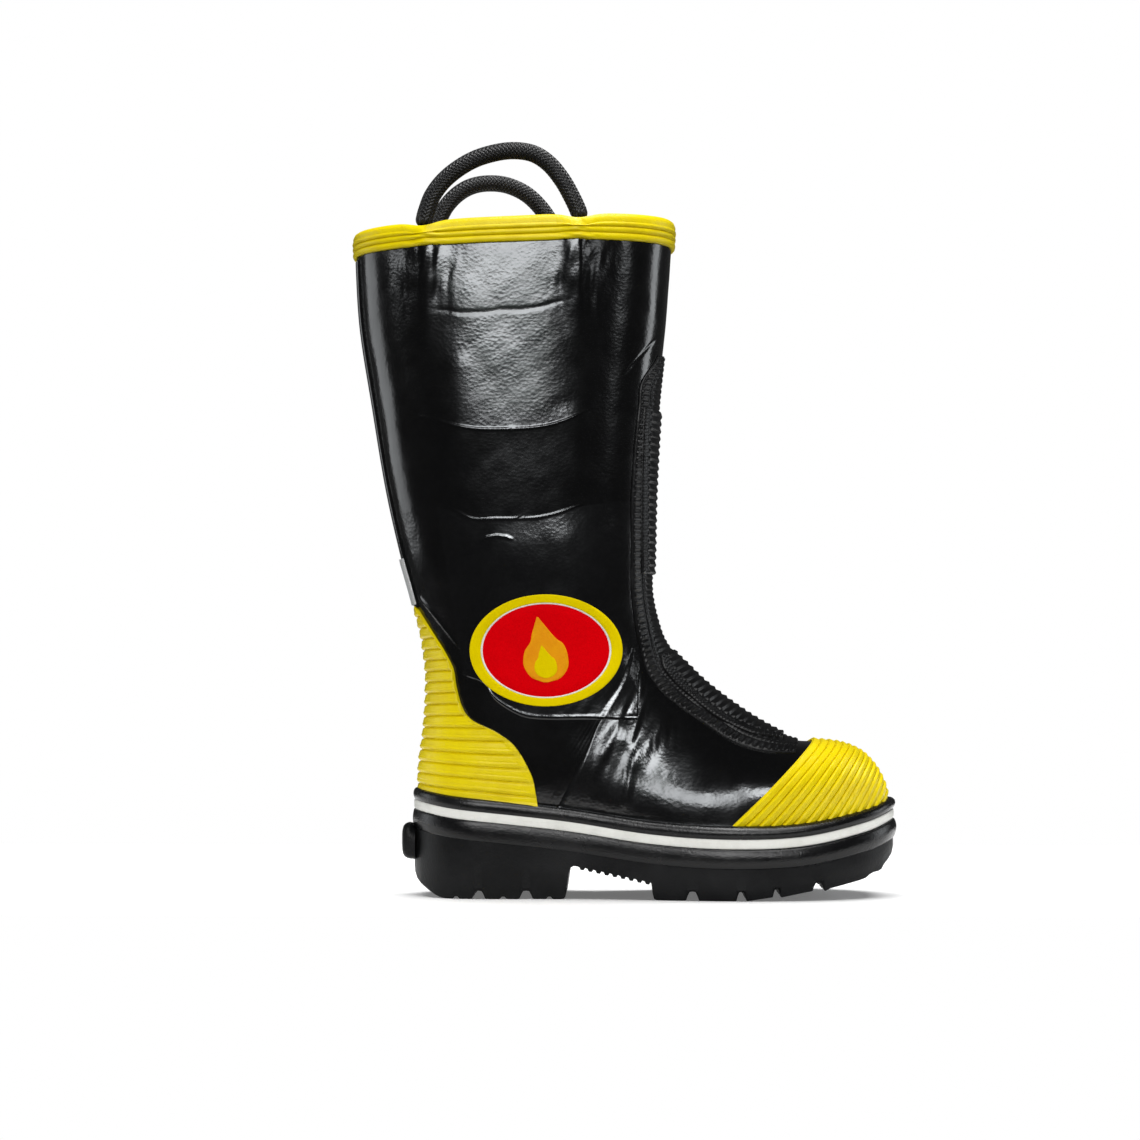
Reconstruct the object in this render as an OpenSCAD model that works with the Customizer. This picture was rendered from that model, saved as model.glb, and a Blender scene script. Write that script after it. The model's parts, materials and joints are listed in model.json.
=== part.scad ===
/* [Layers] */
// Thickness of the outer rubber skin
rubber_t = 2.6; // [2.2:0.1:2.8]
// Thickness of the felt insulation
felt_t = 2.8; // [2:0.1:3]
// Thickness of the woven lining
lining_t = 1; // [0.8:0.1:1.2]
// Thickness of the yellow toe and heel guards
guard_t = 2.2; // [1.8:0.1:2.6]
// Thickness of the shin guard base
shin_t = 1.8; // [1.5:0.1:2.2]

/* [Sole] */
// Height of the lower foxing band
lower_foxing_h = 12.4; // [11:0.2:12.4]
// Height of the pale stripe
stripe_h = 5.2; // [4:0.2:5.2]
// Height of the upper foxing band
upper_foxing_h = 7.8; // [6:0.2:7.8]
// Depth of the channel down the middle of the tread
channel_depth = 3.5; // [2:0.5:4]

/* [Collar] */
// Height of the yellow collar band
collar_h = 13; // [11:0.5:14]

/* [Handles] */
// Diameter of the braided handle rope
rope_d = 10.4; // [9:0.2:10.4]
// Rise of the rope centreline above its hinge line
handle_rise = 39; // [34:1:42]

/* [Ribs] */
// Pitch of the heel guard ribs
heel_rib_pitch = 6.8; // [5:0.2:8]
// Pitch of the shin overlay ribs
shin_rib_pitch = 6.6; // [5:0.2:8]

/* [Hidden] */

LATERAL = -1;
MEDIAL = 1;
// gap between two plies that lie on each other
ply_gap = 0.4;

// Rings of the outer skin, from above the rim down the shaft and forward to the toe tip.
// Each ring lies across the boot between a back or bottom point and a front or top point:
// back x, back z, front x, front z, lateral half width, medial half width,
// share of the ring behind its widest place, squareness behind it, squareness ahead of it
RINGS = [
    [-165.6, 412, 32, 420, 52.5, 52.5, 0.5, 2.3, 2.5],
    [-165, 402, 31, 409, 52.5, 52.5, 0.5, 2.3, 2.5],
    [-162, 351, 27, 352, 53, 53, 0.5, 2.3, 2.5],
    [-154, 300, 21.5, 300, 53.5, 53.5, 0.5, 2.3, 2.5],
    [-145.5, 250, 18.5, 250, 53, 52.5, 0.5, 2.3, 2.5],
    [-136.5, 210, 17.5, 211, 51, 50.5, 0.5, 2.3, 2.5],
    [-129, 183, 17, 190, 48.5, 48, 0.5, 2.3, 2.5],
    [-122, 155, 18, 180, 46.5, 46, 0.5, 2.3, 2.4],
    [-119.5, 128, 20.5, 169, 45, 44.5, 0.5, 2.4, 2.3],
    [-121, 102, 24.5, 157, 44, 43.5, 0.49, 2.4, 2.3],
    [-123.6, 80, 31, 147, 43.5, 42.5, 0.48, 2.5, 2.3],
    [-124.4, 60, 39, 139, 43, 42, 0.46, 2.7, 2.3],
    [-120, 46, 47, 131, 43, 41.5, 0.44, 3, 2.3],
    [-95, 42, 56, 123.5, 43, 41, 0.42, 3.5, 2.3],
    [-60, 38, 66, 116, 43, 40, 0.4, 4, 2.3],
    [-20, 33.2, 77, 108.5, 45, 40, 0.38, 4, 2.3],
    [20, 27.5, 88, 102, 49, 43.5, 0.36, 4, 2.3],
    [55, 25.5, 98, 97, 53, 48.5, 0.35, 4, 2.3],
    [82, 25.5, 108, 94, 54.5, 52, 0.35, 4, 2.3],
    [103, 26.6, 118, 93.5, 53, 53, 0.36, 4, 2.4],
    [121, 29, 129, 92.5, 49.5, 51.5, 0.38, 4, 2.5],
    [136, 32.2, 139, 90, 43.5, 47, 0.4, 4, 2.6],
    [148, 36, 148, 84.5, 35, 39.5, 0.42, 3.5, 2.6],
    [156, 40, 155.5, 75, 26, 30, 0.45, 3, 2.5],
    [160.2, 45, 159.8, 65, 15, 17.5, 0.48, 2.5, 2.3],
    [161.6, 53, 161.4, 57, 4, 4.5, 0.5, 2.2, 2.2]
];
last_ring = len(RINGS) - 1;
rim_ring = 1;

// Plan of the sole: its ends and the half width of each side along its length
heel_x = -128;
toe_x = 165.6;
sole_mid_x = (heel_x + toe_x) / 2;
sole_half = (toe_x - heel_x) / 2;
heel_round = 42;
toe_round = 62;
// mean half width, by which an inset narrows the plan
mean_half = 48;
// height of the foxing's upper edge above the parting line
foxing_top = 26.6;
LATERAL_WIDTH = [[-128, 41], [-75, 41], [-50, 40], [-20, 42], [12, 47.5], [40, 53], [62, 56], [84, 55.5],
    [105, 53], [125, 50], [167, 47]];
MEDIAL_WIDTH = [[-128, 40], [-75, 39.5], [-50, 36.5], [-18, 34], [12, 37.5], [40, 45], [65, 51], [84, 54],
    [100, 55], [115, 54.5], [130, 54], [167, 53]];
// Height of the line where the outsole meets the lower foxing
PARTING = [[-130, 41], [-103, 36], [-66, 32], [-30, 28], [18, 21], [68, 18.5], [110, 20.5], [146, 28], [168, 36]];
// Height of the tread's lower face from the heel breast to the toe
GROUND = [[-34, 0], [70, 0], [90, 2], [113, 5], [134, 9.5], [147, 13], [158, 19], [166, 25]];
// Notches across the heel and the forefoot tread: centre, half width, depth
HEEL_NOTCHES = [[-100, 1.8, 1.5], [-86.5, 4, 5], [-71.7, 1.8, 1.5], [-58, 4, 5], [-44, 1.8, 1.5]];
TOE_NOTCHES = [[41.5, 3.8, 5.5], [70.5, 3, 5.5], [91.5, 2.4, 5], [116.5, 3.6, 5]];
grip_teeth = 9;

// Outlines on the skin, seen from the side: x, z
HEEL_GUARD_EDGE = [[57, -50], [72, -52.5], [80, -55], [94, -65], [101, -76], [107, -90], [114, -96],
    [127, -100], [138, -102], [148, -107], [159, -114], [171, -122], [178, -126.5]];
SHIN_EDGE = [[22, 330], [12, 313], [9.5, 295], [7, 270], [5, 235], [4.8, 205], [5.5, 180], [9, 155], [15, 134],
    [27, 120], [39, 111], [50, 104], [60, 97], [71, 91.5], [84, 88], [95, 87], [104, 87]];
SHIN_OVERLAY_EDGE = [[12, 297], [11, 285], [10, 250], [10, 215], [10.5, 196]];
INSTEP_OVERLAY_EDGE = [[22, 146], [24, 138], [30, 130], [38, 122.5], [48.5, 113.6], [58.7, 106.6],
    [70, 101], [81, 97], [92, 95.5], [97, 95]];
PATCH_LOWER_EDGE = [[-96, 134], [-83.5, 129], [-76.5, 119], [-62, 110], [-48, 107.5], [-20, 107.5], [-2, 108]];
PATCH_UPPER_EDGE = [[-112, 236], [-90, 228], [-55, 227.5], [-27, 235], [-2, 241]];

badge_at = [-46, 149];
badge_axes = [45.5, 33.5];

// Rope handles: where their legs leave the rim, and the rise of the arch between them
handle_back_x = -120;
lateral_front_x = -26;
medial_front_x = -40;
hinge_lift = 6.4;
rope_depth = 5.8;
pocket_bulge = 3.9;
rope_end_z = 351;
// share of the span, share of the rise; the inner loop is narrower and leans back
LATERAL_ARCH = [[0, 0], [0.015, 0.14], [0.055, 0.38], [0.13, 0.61], [0.24, 0.81], [0.37, 0.95], [0.54, 1.02],
    [0.69, 0.97], [0.8, 0.8], [0.89, 0.53], [0.96, 0.22], [1, 0]];
MEDIAL_ARCH = [[0, 0], [0.01, 0.16], [0.04, 0.38], [0.1, 0.61], [0.19, 0.8], [0.3, 0.92], [0.43, 0.96],
    [0.58, 0.92], [0.73, 0.77], [0.85, 0.53], [0.95, 0.22], [1, 0]];

// ---- curves ----
function find(x, tb, i = 0) = (i >= len(tb) - 2 || x < tb[i + 1][0]) ? i : find(x, tb, i + 1);
function slope(tb, i) =
    let (a = max(i - 1, 0), b = min(i + 1, len(tb) - 1))
    (tb[b][1] - tb[a][1]) / (tb[b][0] - tb[a][0]);
// smooth curve through a table of x, y
function curve(x, tb) =
    let (
        i = find(x, tb),
        h = tb[i + 1][0] - tb[i][0],
        f = max(0, min(1, (x - tb[i][0]) / h)),
        m0 = slope(tb, i) * h,
        m1 = slope(tb, i + 1) * h,
        f2 = f * f,
        f3 = f2 * f
    )
    (2 * f3 - 3 * f2 + 1) * tb[i][1] + (f3 - 2 * f2 + f) * m0 + (3 * f2 - 2 * f3) * tb[i + 1][1] + (f3 - f2) * m1;
function catmull(a, b, c, d, f) =
    0.5 * (2 * b + (c - a) * f + (2 * a - 5 * b + 4 * c - d) * f * f + (3 * b - a - 3 * c + d) * f * f * f);
// point t of the way, in rows, along a list of vectors
function along(list, t) =
    let (n = len(list) - 1, i = max(0, min(n - 1, floor(t))))
    catmull(list[max(i - 1, 0)], list[i], list[i + 1], list[min(i + 2, n)], t - i);
function smooth(x, a, b) = let (f = max(0, min(1, (x - a) / (b - a)))) f * f * (3 - 2 * f);
function steps(a, b, n) = [for (i = [0:n]) a + (b - a) * i / n];

// ---- sole plan ----
function rounding(s, r) = s >= r ? 1 : s <= 0 ? 0 : sqrt(1 - pow(1 - s / r, 2));
function half_width(x, side) =
    curve(x, side == LATERAL ? LATERAL_WIDTH : MEDIAL_WIDTH) * rounding(x - heel_x, heel_round)
    * rounding(toe_x - x, toe_round);
function parting(x) = curve(x, PARTING);
function ground(x) = max(0, curve(x, GROUND));
// point of the sole's plan at angle q, moved in by d
function plan(q, d) =
    let (x = sole_mid_x + sole_half * cos(q), side = sin(q) < 0 ? LATERAL : MEDIAL)
    [sole_mid_x + (sole_half - d) * cos(q), side * half_width(x, side) * (1 - d / mean_half)];
// widest half width that the sole leaves the upper at a place, for a layer d outside the skin
sole_wall = 3.8;
function room(x, z, side, d) =
    let (inset = sole_wall - d, px = sole_mid_x + (x - sole_mid_x) / (1 - inset / sole_half))
    half_width(px, side) * (1 - inset / mean_half) + 0.3 * max(0, z - parting(x) - 27);

// ---- upper surface ----
function unit(v) = v / norm(v);
function outward(i, c) =
    let (
        a = RINGS[max(i - 1, 0)],
        b = RINGS[min(i + 1, last_ring)],
        tangent = [b[c] - a[c], b[c + 1] - a[c + 1]],
        n = unit([tangent[1], -tangent[0]]),
        away = [RINGS[i][c] - RINGS[i][2 - c], RINGS[i][c + 1] - RINGS[i][3 - c]]
    )
    n * away < 0 ? -n : n;
ROWS = [for (i = [0:last_ring]) concat(RINGS[i], outward(i, 0), outward(i, 2))];
function blend_min(y, h) = (y < 0.5 || h < 0.5) ? min(y, h) : pow(pow(y, -12) + pow(h, -12), -1 / 12);
function ring_back(r, d) = [r[0] + d * r[9], r[1] + d * r[10]];
function ring_front(r, d) = [r[2] + d * r[11], r[3] + d * r[12]];
function ring_width(r, side, d) = max(0.4, (side == LATERAL ? r[4] : r[5]) + d);
function front_x(side) = side == LATERAL ? lateral_front_x : medial_front_x;
// bulge of the shaft over the rope ends
function pocket(x, z, side) =
    (exp(-pow((x - handle_back_x) / 9, 2)) + exp(-pow((x - front_x(side)) / 9, 2))) * smooth(z, 325, 350);
// point on the layer d outside the skin: ring t, angle a (0 front or top, 180 back or bottom, lateral < 0)
function skin(t, a, d = 0, bulge = 1) =
    let (
        r = along(ROWS, t),
        side = a < 0 ? LATERAL : MEDIAL,
        c = cos(a),
        n = c < 0 ? r[7] : r[8],
        k = c < 0 ? r[6] * (1 - pow(-c, 2 / n)) : r[6] + (1 - r[6]) * pow(c, 2 / n),
        b = ring_back(r, d),
        f = ring_front(r, d),
        p = b + (f - b) * k,
        y = ring_width(r, side, d) * pow(abs(sin(a)), 2 / n),
        swell = bulge * pocket_bulge * pocket(p[0], p[1], side) * smooth(y, 15, 40)
    )
    [p[0], side * (blend_min(y, room(p[0], p[1], side, d)) + swell), p[1]];
// ring whose plane holds a point of the side view
function ring_of(x, z, d = 0, lo = 0, hi = last_ring, n = 14) =
    let (
        mid = (lo + hi) / 2,
        r = along(ROWS, mid),
        b = ring_back(r, d),
        f = ring_front(r, d),
        above = (f[0] - b[0]) * (z - b[1]) - (f[1] - b[1]) * (x - b[0])
    )
    n == 0 ? mid : above > 0 ? ring_of(x, z, d, lo, mid, n - 1) : ring_of(x, z, d, mid, hi, n - 1);
// angle on that ring
function angle_of(x, z, t, d = 0) =
    let (
        r = along(ROWS, t),
        b = ring_back(r, d),
        v = ring_front(r, d) - b,
        k = max(0, min(1, ([x, z] - b) * v / (v * v)))
    )
    k < r[6] ? acos(-pow((r[6] - k) / r[6], r[7] / 2)) : acos(pow((k - r[6]) / (1 - r[6]), r[8] / 2));
// point on the layer d outside the skin at a place of the side view
function on_side(x, z, side, d = 0) =
    let (t = ring_of(x, z, d), p = skin(t, side * angle_of(x, z, t, d), d))
    [x, p[1], z];
function back_x(z, d, lo = 0, hi = 12, n = 14) =
    let (mid = (lo + hi) / 2, b = ring_back(along(ROWS, mid), d))
    n == 0 ? b[0] : b[1] < z ? back_x(z, d, lo, mid, n - 1) : back_x(z, d, mid, hi, n - 1);
// angle where ring t comes down to the top of the foxing
function foxing_angle(t, d, lo = 0, hi = 180, n = 12) =
    let (mid = (lo + hi) / 2, p = skin(t, mid, d))
    n == 0 ? lo
    : p[2] < parting(p[0]) + foxing_top ? foxing_angle(t, d, lo, mid, n - 1) : foxing_angle(t, d, mid, hi, n - 1);

// ---- solids from grids of points ----
function middle(p) = [for (i = [0:len(p) - 1]) 1 / len(p)] * p;
function flatten(rows) = [for (r = rows) each r];
function quads(i0, i1, j0, j1, n, flip) = [
    for (i = [i0:i1 - 1], j = [j0:j1 - 1])
        let (a = i * n + j, b = a + 1, c = a + n + 1, d = a + n)
        each (flip ? [[a, c, b], [a, d, c]] : [[a, b, c], [a, c, d]])
];
function six_volumes(p, f) = [for (t = f) p[t[0]] * cross(p[t[1]], p[t[2]])] * [for (t = f) 1];
// polyhedron whose faces are turned outward, whichever way its grid runs
module solid(points, faces) {
    turned = six_volumes(points, faces) > 0 ? [for (f = faces) [f[0], f[2], f[1]]] : faces;
    polyhedron(points, turned, convexity = 10);
}
// thick sheet between two grids of the same size
module sheet(outer, inner) {
    m = len(outer);
    n = len(outer[0]);
    s = m * n;
    top = quads(0, m - 1, 0, n - 1, n, true);
    under = [for (f = quads(0, m - 1, 0, n - 1, n, false)) [f[0] + s, f[1] + s, f[2] + s]];
    edge = concat(
        [for (j = [0:n - 1]) j],
        [for (i = [1:m - 1]) i * n + n - 1],
        [for (j = [n - 2:-1:0]) (m - 1) * n + j],
        [for (i = [m - 2:-1:1]) i * n]
    );
    e = len(edge);
    rim = [
        for (k = [0:e - 1])
            let (a = edge[k], b = edge[(k + 1) % e])
            each [[a, b, b + s], [a, b + s, a + s]]
    ];
    solid(concat(flatten(outer), flatten(inner)), concat(top, under, rim));
}
// closed outlines stacked in order; the ends are capped, or the last joins the first
module stack(rings, joined = false) {
    m = len(rings);
    n = len(rings[0]);
    last = joined ? m - 1 : m - 2;
    sides = [
        for (i = [0:last], j = [0:n - 1])
            let (a = i * n + j, b = i * n + (j + 1) % n, c = ((i + 1) % m) * n + (j + 1) % n,
                 d = ((i + 1) % m) * n + j)
            each [[a, c, b], [a, d, c]]
    ];
    // each cap is a fan about its own middle
    caps = joined ? [] : concat(
        [for (j = [0:n - 1]) [m * n, j, (j + 1) % n]],
        [for (j = [0:n - 1]) [m * n + 1, (m - 1) * n + (j + 1) % n, (m - 1) * n + j]]
    );
    middles = joined ? [] : [middle(rings[0]), middle(rings[m - 1])];
    solid(concat(flatten(rings), middles), concat(sides, caps));
}

// ---- sole ----
function notch(n, base) = [
    [n[0] - n[1], base], [n[0] - n[1] * 0.4, base + n[2]], [n[0] + n[1] * 0.4, base + n[2]], [n[0] + n[1], base]
];
arch_start = -27;
arch_end = 17;
function arch(x) = 19.5 + (10.5 - 19.5) * (x - arch_start) / (arch_end - arch_start);
tooth = (arch_end - arch_start) / grip_teeth;
TREAD = concat(
    [[-127.4, 18], [-126, 12], [-122, 7.5], [-116, 3.5], [-111, 1], [-106, 0]],
    [for (n = HEEL_NOTCHES) each notch(n, 0)],
    [[-35, 0], [-31.5, 19.5]],
    [for (i = [0:grip_teeth - 1])
        let (x = arch_start + i * tooth)
        each [[x, arch(x)], [x + tooth * 0.45, arch(x) - 2]]],
    [[arch_end + 0.5, 9.5], [arch_end + 2, 0]],
    [for (n = TOE_NOTCHES) each notch(n, ground(n[0]))],
    [for (x = [125, 134, 141, 147]) [x, ground(x)]],
    [[148.5, 15], [155, 16.5], [157, 20], [162, 23.5], [165, 27]]
);
// share of the foxing's width that the tread fills
tread_share = 0.994;
// the forefoot tread is cut back towards its lower edge
function lower_edge(x, side) = half_width(x, side) * (x > arch_end ? 0.93 : x > -31 ? 0.97 : 0.95);
function sole_section(x, z) =
    let (
        top = parting(x),
        wl = half_width(x, LATERAL) * tread_share,
        wm = half_width(x, MEDIAL) * tread_share,
        cut = min(z + 4, top - 4),
        mid = min(6, wl / 2),
        up = (z < 8 && x < 140 && (x < -36 || x > arch_end)) ? channel_depth : 0
    )
    [
        [x, -wl, top], [x, -wl, cut], [x, -lower_edge(x, LATERAL), z], [x, -mid - 1.5, z], [x, -mid, z + up],
        [x, mid, z + up], [x, mid + 1.5, z], [x, lower_edge(x, MEDIAL), z], [x, wm, cut], [x, wm, top],
        [x, wm / 2, top], [x, -wl / 2, top]
    ];
// kick-off spur behind the heel
spur_back = -134.6;
function spur_section(x, lo, hi, w) = [
    [x, -w, hi], [x, -w, (lo + hi) / 2], [x, -w * 0.9, lo], [x, -w * 0.6, lo], [x, -w * 0.3, lo], [x, w * 0.3, lo],
    [x, w * 0.6, lo], [x, w * 0.9, lo], [x, w, (lo + hi) / 2], [x, w, hi], [x, w * 0.5, hi], [x, -w * 0.5, hi]
];
module outsole() {
    color("#1c1d1e")
        stack(concat(
            [spur_section(spur_back, 27, 40, 15), spur_section(spur_back + 1, 23.5, 43, 17),
             spur_section(spur_back + 4.6, 22, 43.4, 18), spur_section(spur_back + 5.2, 22, 39.8, 18)],
            [sole_section(-127.7, 20)],
            [for (p = TREAD) sole_section(p[0], p[1])]
        ));
}
// flat sheet that follows the sole, between heights lo and hi above the parting line
module slab(x0, x1, inset, lo, hi, n) {
    stack([
        for (x = steps(x0, x1, n))
            let (
                px = sole_mid_x + (x - sole_mid_x) / (1 - inset / sole_half),
                wl = half_width(px, LATERAL) * (1 - inset / mean_half),
                wm = half_width(px, MEDIAL) * (1 - inset / mean_half),
                z = parting(x)
            )
            [[x, -wl, z + hi], [x, -wl, z + lo], [x, wm, z + lo], [x, wm, z + hi]]
    ]);
}
module midsole_filler() { color("#3a3a38") slab(-122, 160, 4, 0.2, 3, 22); }
module puncture_plate() { color("#9aa0a4") slab(-116, 152, 8, 5.1, 6, 20); }
module steel_shank() {
    color("#8b9196")
        stack([
            for (x = steps(-85, 35, 8))
                let (z = parting(x))
                [[x, -13, z + 4.8], [x, -13, z + 3.2], [x, 13, z + 3.2], [x, 13, z + 4.8]]
        ]);
}
module insole_board() { color("#a58a5e") slab(-96, 129, 21, 17.2, 18.6, 16); }
module insole() { color("#4a4d50") slab(-96, 129, 20, 19, 23, 16); }

// band round the sole: section of inset and height points swept along the plan
module band(section, n) {
    stack([
        for (i = [0:n - 1])
            let (q = 360 * i / n, swell = 1 + 0.9 * smooth(plan(q, 0)[0], 0, 160))
            [for (s = section)
                let (p = plan(q, s[0] < 0 ? s[0] * swell : s[0]))
                [p[0], p[1], parting(p[0]) + s[1]]]
    ], joined = true);
}
foxing_in = 3;
stripe_z = lower_foxing_h + 0.15;
upper_z = stripe_z + stripe_h + 0.15;
module lower_foxing() {
    h = lower_foxing_h;
    color("#1b1c1d")
        band([[foxing_in, 0.1], [0.2, 0.1], [-0.9, h * 0.3], [-1, h * 0.65], [0, h], [foxing_in, h]], 56);
}
module foxing_stripe() {
    color("#f1f0ea")
        band([[foxing_in, stripe_z], [0, stripe_z], [-0.3, stripe_z + stripe_h / 2], [0, stripe_z + stripe_h],
              [foxing_in, stripe_z + stripe_h]], 56);
}
module upper_foxing() {
    h = upper_foxing_h;
    color("#202122")
        band([[foxing_in, upper_z], [-0.2, upper_z], [-0.7, upper_z + h * 0.4], [0, upper_z + h * 0.9],
              [1.4, upper_z + h], [foxing_in, upper_z + h]], 56);
}

// ---- outer rubber ----
// ring where the leg panels end and the vamp begins, by angle
SEAM = [[0, 9.7], [45, 11.2], [90, 13.1], [128, 13.8], [180, 14.2]];
function seam(a) = curve(abs(a), SEAM);
// angles of the columns that every layer shares; two of them lie over the rope ends
LATERAL_COLUMNS = [0.001, 16, 32, 46, 58, 70, 82, 94, 107, 119.5, 132, 148, 164, 180];
MEDIAL_COLUMNS = [0.001, 16, 32, 46, 56, 66, 78, 90, 106, 119.5, 132, 148, 164, 180];
AROUND = concat(MEDIAL_COLUMNS, [for (i = [len(LATERAL_COLUMNS) - 2:-1:0]) -LATERAL_COLUMNS[i]]);
leg_rows = 15;
module leg(side) {
    grid = function(d) [
        for (u = steps(0, 1, leg_rows))
            [for (a = side == LATERAL ? LATERAL_COLUMNS : MEDIAL_COLUMNS)
                skin(rim_ring + u * (seam(a) - 0.02 - rim_ring), side * a, d)]
    ];
    color("#161718") sheet(grid(0), grid(-rubber_t));
}
module leg_lateral() { leg(LATERAL); }
module leg_medial() { leg(MEDIAL); }
// closed sock of rings between two layers, from ring function start(a) to ring stop
module sock(from, to, rows, angles, outer_d, inner_d, bulge_out = 1, bulge_in = 1) {
    outer = [for (u = steps(0, 1, rows))
        [for (a = angles) let (t = from(a) + u * (to - from(a))) skin(t, a, outer_d(t, a), bulge_out)]];
    inner = [for (u = steps(1, 0, rows))
        [for (a = angles) let (t = from(a) + u * (to - from(a))) skin(t, a, inner_d(t, a), bulge_in)]];
    // the outer side runs to the toe, the inner side returns, and the rim joins them
    n = len(angles);
    rings = concat(outer, inner);
    m = len(rings);
    half = rows;
    sides = [
        for (i = [0:m - 1], j = [0:n - 1])
            if (i != half)
                let (a = i * n + j, b = i * n + (j + 1) % n, c = ((i + 1) % m) * n + (j + 1) % n,
                     d = ((i + 1) % m) * n + j)
                each (i < half ? [[a, c, b], [a, d, c]] : [[a, d, b], [b, d, c]])
    ];
    tip = [for (j = [1:n - 2]) [half * n, half * n + j + 1, half * n + j]];
    heart = [for (j = [1:n - 2]) [(half + 1) * n, (half + 1) * n + j, (half + 1) * n + j + 1]];
    solid(flatten(rings), concat(sides, tip, heart));
}
module vamp() {
    color("#161718")
        sock(function(a) seam(a), last_ring, 10, AROUND, function(t, a) 0, function(t, a) -rubber_t);
}

// ---- plies and guards on the outside ----
module backstay() {
    grid = function(d) [
        for (z = [386, 350, 310, 270, 235, 205, 182])
            let (xb = back_x(z, d))
            [for (s = [-1, -0.75, -0.5, -0.25, 0, 0.25, 0.5, 0.75, 1])
                let (p = on_side(xb + 3.2 * s * s, z, s < 0 ? LATERAL : MEDIAL, d))
                s == 0 ? [xb, 0, z] : p]
    ];
    color("#17181a") sheet(grid(1.2), grid(ply_gap));
}
module reflective_strip() {
    grid = function(d) [
        for (z = [206, 197, 188, 181])
            let (xb = back_x(z, d))
            [for (s = [-0.8, -0.55, -0.3, 0, 0.3, 0.55, 0.8])
                let (p = on_side(xb + 3.2 * s * s, z, s < 0 ? LATERAL : MEDIAL, d))
                s == 0 ? [xb, 0, z] : p]
    ];
    color("#c9ccce") sheet(grid(2), grid(1.35));
}
module heel_guard() {
    top_z = 177;
    low_z = 67.5;
    // the lowest ribs turn to follow the sole over this height
    turn = 45;
    count = floor((top_z - low_z) / heel_rib_pitch);
    levels = [for (i = [0:count - 1]) let (z = top_z - i * heel_rib_pitch)
        each [[z, 0], [z - heel_rib_pitch * 0.75, 0.9]]];
    grid = function(d, rib) [
        for (v = levels)
            let (
                e = d + rib * v[1],
                xb = back_x(v[0], e),
                xf = curve(v[0], HEEL_GUARD_EDGE),
                low = v[0] - low_z
            )
            [for (s = steps(-1, 1, 14))
                let (
                    x = xb + (xf - xb) * s * s,
                    z = v[0] - max(0, 1 - low / turn) * (parting(xb) - parting(x)) * 0.9,
                    p = on_side(x, z, s < 0 ? LATERAL : MEDIAL, e)
                )
                abs(s) < 0.01 ? [xb, 0, z] : p]
    ];
    color("#e9d500") sheet(grid(guard_t - 0.6, 1), grid(ply_gap, 0));
}
module toe_guard() {
    back_edge = [[0, 18.8], [0.5, 18.3], [1, 16.9]];
    rows = 14;
    grid = function(d, rib) [
        for (i = [0:rows])
            [for (v = steps(-1, 1, 16))
                let (
                    t0 = curve(abs(v), back_edge),
                    t = t0 + (24.1 - t0) * i / rows,
                    e = d + rib * (i % 2 == 1 ? 0.7 : 0)
                )
                skin(t, v == 0 ? 0 : v * foxing_angle(t, d), e)]
    ];
    color("#e9d500") sheet(grid(guard_t - 0.5, 1), grid(ply_gap, 0));
}
// strip down the front whose side edges follow an outline of the side view
module front_ply(edge, lo, hi, columns, rib_pitch = 0, rib = 0) {
    places = [for (p = edge) let (t = ring_of(p[0], p[1])) [t, angle_of(p[0], p[1], t)]];
    length = sum_length(edge);
    count = rib_pitch > 0 ? 2 * floor(length / rib_pitch) : 2 * (len(edge) - 1);
    grid = function(d, r) [
        for (i = [0:count])
            let (q = along(places, i / count * (len(edge) - 1)))
            [for (v = steps(-1, 1, columns)) skin(q[0], v * q[1], d + (i % 2 == 1 ? r : 0))]
    ];
    sheet(grid(hi, rib), grid(lo, 0));
}
function sum_length(p, i = 0) = i >= len(p) - 1 ? 0 : norm(p[i + 1] - p[i]) + sum_length(p, i + 1);
module shin_guard() { color("#18191a") front_ply(SHIN_EDGE, 0.8, shin_t + 0.4, 8); }
module shin_overlay() {
    color("#1a1b1c") front_ply(SHIN_OVERLAY_EDGE, shin_t + 0.9, shin_t + 1.5, 6, shin_rib_pitch, 0.7);
}
module instep_overlay() {
    color("#1a1b1c") front_ply(INSTEP_OVERLAY_EDGE, shin_t + 0.9, shin_t + 1.5, 6, shin_rib_pitch, 0.7);
}
// ply over the ankle bone on one side
module ankle_patch(side) {
    grid = function(d) [
        for (v = steps(0, 1, 8))
            [for (u = steps(0, 1, 10))
                let (
                    lo = along(PATCH_LOWER_EDGE, u * (len(PATCH_LOWER_EDGE) - 1)),
                    hi = along(PATCH_UPPER_EDGE, u * (len(PATCH_UPPER_EDGE) - 1)),
                    p = lo + (hi - lo) * v
                )
                on_side(p[0], p[1], side, d)]
    ];
    color("#151617")
        sheet(grid(1), grid(ply_gap));
}
module ankle_patch_lateral() { ankle_patch(LATERAL); }
module ankle_patch_medial() { ankle_patch(MEDIAL); }

// ---- badge on the lateral ankle ----
// ring of an oval between two shares of its size
module oval_ring(inner, outer, lo, hi, n) {
    at = function(s, q, d) on_side(badge_at[0] + badge_axes[0] * s * cos(q), badge_at[1] + badge_axes[1] * s * sin(q),
                                   LATERAL, d);
    stack([for (i = [0:n - 1])
        let (q = 360 * i / n)
        [at(outer, q, hi), at(outer, q, lo), at(inner, q, lo), at(inner, q, hi)]], joined = true);
}
module oval_disc(share, lo, hi, n) {
    at = function(s, q, d) on_side(badge_at[0] + badge_axes[0] * s * cos(q), badge_at[1] + badge_axes[1] * s * sin(q),
                                   LATERAL, d);
    stack([
        for (r = [[0.02, lo], [share * 0.5, lo], [share, lo], [share, hi], [share * 0.5, hi], [0.02, hi]])
            [for (i = [0:n - 1]) at(r[0], 360 * i / n, r[1])]
    ]);
}
module badge_border() { color("#e9d500") oval_ring(0.84, 1, 1.7, 2.7, 36); }
module badge_field() { color("#e3000f") oval_disc(0.82, 1.7, 2.4, 28); }
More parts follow.
